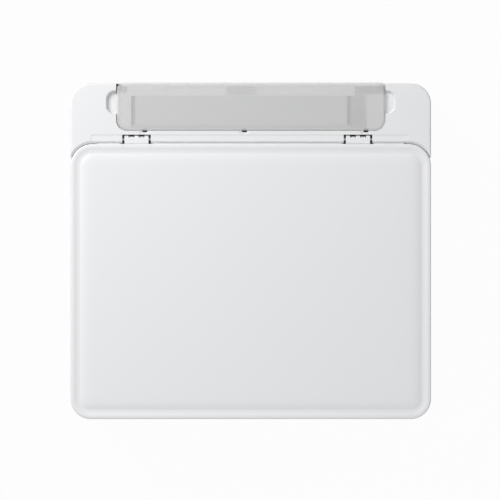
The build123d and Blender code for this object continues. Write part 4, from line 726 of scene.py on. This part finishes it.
# Operation panel, display and buttons. A white tilting panel with a black glass display
# flush in its face and round grey keys with dished tops.
finished_copy("control_panel", "control_panel", case_white)
display_black = plastic("display_black", (0.006, 0.006, 0.007), roughness=0.08, coat=0.6,
                        clouding=0.1, gloss_change=0.02, grain=400.0, depth=0.000001)
paint(display_black, "display_window")
key_grey = plastic("key_grey", (0.52, 0.53, 0.54), roughness=0.4, grain=1500.0)
for node in ("power_button", "menu_button", "ok_button", "stop_button", "start_button"):
    finished_copy(node, node, key_grey)

# Key marks. Thin printed symbols in the dished key tops: a switch ring, a list, a tick, a
# triangle to stop and a diamond to start, all of the plain kind that office machines share.
mark_ink = plastic("mark_ink", (0.06, 0.065, 0.07), roughness=0.55, edge=0.0, clouding=0.05)
key_front, key_z, key_dish, ink_height = -175.5, 78.5, 0.35, 0.03


def key_mark(name, body, key_x, key_radius, outlines):
    shape = bmesh.new()
    for outline in outlines:
        bottom, top = [], []
        for x, z in outline:
            surface = key_front + key_dish - (x * x + z * z) / (8.0 * key_radius)
            bottom.append(shape.verts.new((key_x + x, surface + ink_height, key_z + z)))
            top.append(shape.verts.new((key_x + x, surface - ink_height, key_z + z)))
        shape.faces.new(top)
        shape.faces.new(list(reversed(bottom)))
        join_loops(shape, bottom, top)
    bmesh.ops.scale(shape, vec=(0.001, 0.001, 0.001), verts=shape.verts)
    bmesh.ops.recalc_face_normals(shape, faces=shape.faces)
    return new_piece(name, body, mark_ink, shape)


def ink_bar(left, right, low, high):
    return [(left, low), (right, low), (right, high), (left, high)]


def ink_arc(radius, width, start, end, steps=20):
    pieces = []
    for step in range(steps):
        low = math.radians(start + (end - start) * step / steps)
        high = math.radians(start + (end - start) * (step + 1) / steps)
        pieces.append([((radius + grow) * math.cos(angle), (radius + grow) * math.sin(angle))
                       for grow, angle in ((0, low), (width, low), (width, high), (0, high))])
    return pieces


key_mark("power_mark", "power_button", -112.0, 5.5,
         ink_arc(2.0, 0.45, 125, 415) + [ink_bar(-0.22, 0.22, 0.9, 3.0)])
key_mark("menu_mark", "menu_button", -84.0, 4.5,
         [ink_bar(-1.7, 1.7, height - 0.2, height + 0.2) for height in (-1.1, 0.0, 1.1)])
key_mark("ok_mark", "ok_button", 24.0, 6.5,
         [[(-2.1, 0.2), (-1.7, 0.6), (-0.6, -0.5), (-0.6, -1.3)],
          [(-0.6, -0.5), (-0.6, -1.3), (2.3, 1.5), (1.9, 1.9)]])
key_mark("stop_mark", "stop_button", 82.0, 5.0, [[(-1.7, -1.2), (1.7, -1.2), (0.0, 1.8)]])
key_mark("start_mark", "start_button", 106.0, 7.0,
         [[(0.0, -2.4), (2.4, 0.0), (0.0, 2.4), (-2.4, 0.0)]])

# Carriage, cartridges and lock levers. A black carrier rides the rail with two ink
# cartridges clipped in; grey levers lock them down. Each cartridge has seven fine ridges
# in the finger dip on its top.
paint(frame_black, "carriage")
cartridge_dark = plastic("cartridge_dark", (0.04, 0.04, 0.045), roughness=0.3, grain=900.0)
cartridge_grey = plastic("cartridge_grey", (0.13, 0.15, 0.19), roughness=0.3, grain=900.0)
ridge_pitch, ridge_count, ridge_y, ridge_z, ridge_size = 3.0, 7, 70.0, 89.95, (1.2, 9.0, 0.5)
for node, finish, middle_x in (("cartridge_black", cartridge_dark, 84.0),
                               ("cartridge_colour", cartridge_grey, 126.0)):
    paint(finish, node)
    first_ridge_x = middle_x - ridge_pitch * (ridge_count - 1) / 2.0
    rows_of_blocks(node + "_grip", "carriage", finish, (
        ((first_ridge_x, ridge_y, ridge_z), (ridge_pitch, 0, 0), ridge_count, ridge_size),))
for node in ("lock_lever_black", "lock_lever_colour"):
    finished_copy(node, node, inner_grey)

# Stage. A plain white floor that keeps a faint shadow, a soft lamp at the upper left, a
# wide fill, and a long lens straight above the printer, as in the photograph.
def floor_finish(grey, glow_share):
    finish, tree = new_finish("floor_white")
    new, link = tree.nodes.new, tree.links.new
    paper, glow = new("ShaderNodeBsdfDiffuse"), new("ShaderNodeEmission")
    seen, mixed = new("ShaderNodeLightPath"), new("ShaderNodeMixShader")
    paper.inputs["Color"].default_value = (grey, grey, grey, 1.0)
    mirrored = math_node(tree, "MAXIMUM", seen.outputs["Is Glossy Ray"],
                         seen.outputs["Is Transmission Ray"])
    share = math_node(tree, "MAXIMUM", seen.outputs["Is Camera Ray"], mirrored)
    link(math_node(tree, "MULTIPLY", share, glow_share), mixed.inputs["Fac"])
    link(paper.outputs["BSDF"], mixed.inputs[1])
    link(glow.outputs["Emission"], mixed.inputs[2])
    link(mixed.outputs["Shader"], tree.nodes["Material Output"].inputs["Surface"])
    return finish


def lamp(name, place, size, power, aim=(0, 0, 0.1)):
    light = bpy.data.lights.new(name, "AREA")
    light.shape = "DISK"
    light.size = size
    light.energy = power
    holder = add_object(name, light)
    holder.location = place
    holder.rotation_euler = (Vector(aim) - Vector(place)).to_track_quat("-Z", "Y").to_euler()


reach = 30
sheet = bpy.data.meshes.new("floor")
sheet.from_pydata([(-reach, -reach, 0), (reach, -reach, 0), (reach, reach, 0),
                   (-reach, reach, 0)], [], [(0, 1, 2, 3)])
sheet.materials.append(floor_finish(grey=0.45, glow_share=0.97))
add_object("floor", sheet)
lamp("key_lamp", (-1.1, 1.0, 1.3), size=0.9, power=26.5)
lamp("fill_lamp", (0.9, -1.6, 1.6), size=1.4, power=7.0)
sky = bpy.data.worlds.new("studio")
sky.use_nodes = True
backdrop = sky.node_tree.nodes["Background"]
backdrop.inputs["Color"].default_value = (1.0, 1.0, 1.0, 1.0)
backdrop.inputs["Strength"].default_value = 0.46
bpy.context.scene.world = sky
view_width, view_distance, lid_height, sensor_width = 0.5215, 8.0, 0.14, 36.0
lens = bpy.data.cameras.new("camera")
lens.sensor_width = sensor_width
lens.clip_end = 100.0
lens.lens = sensor_width * view_distance / view_width
camera = add_object("camera", lens)
camera.location = (-0.0008, 0.0007, lid_height + view_distance)
bpy.context.scene.camera = camera
bpy.context.scene.view_settings.view_transform = "Standard"
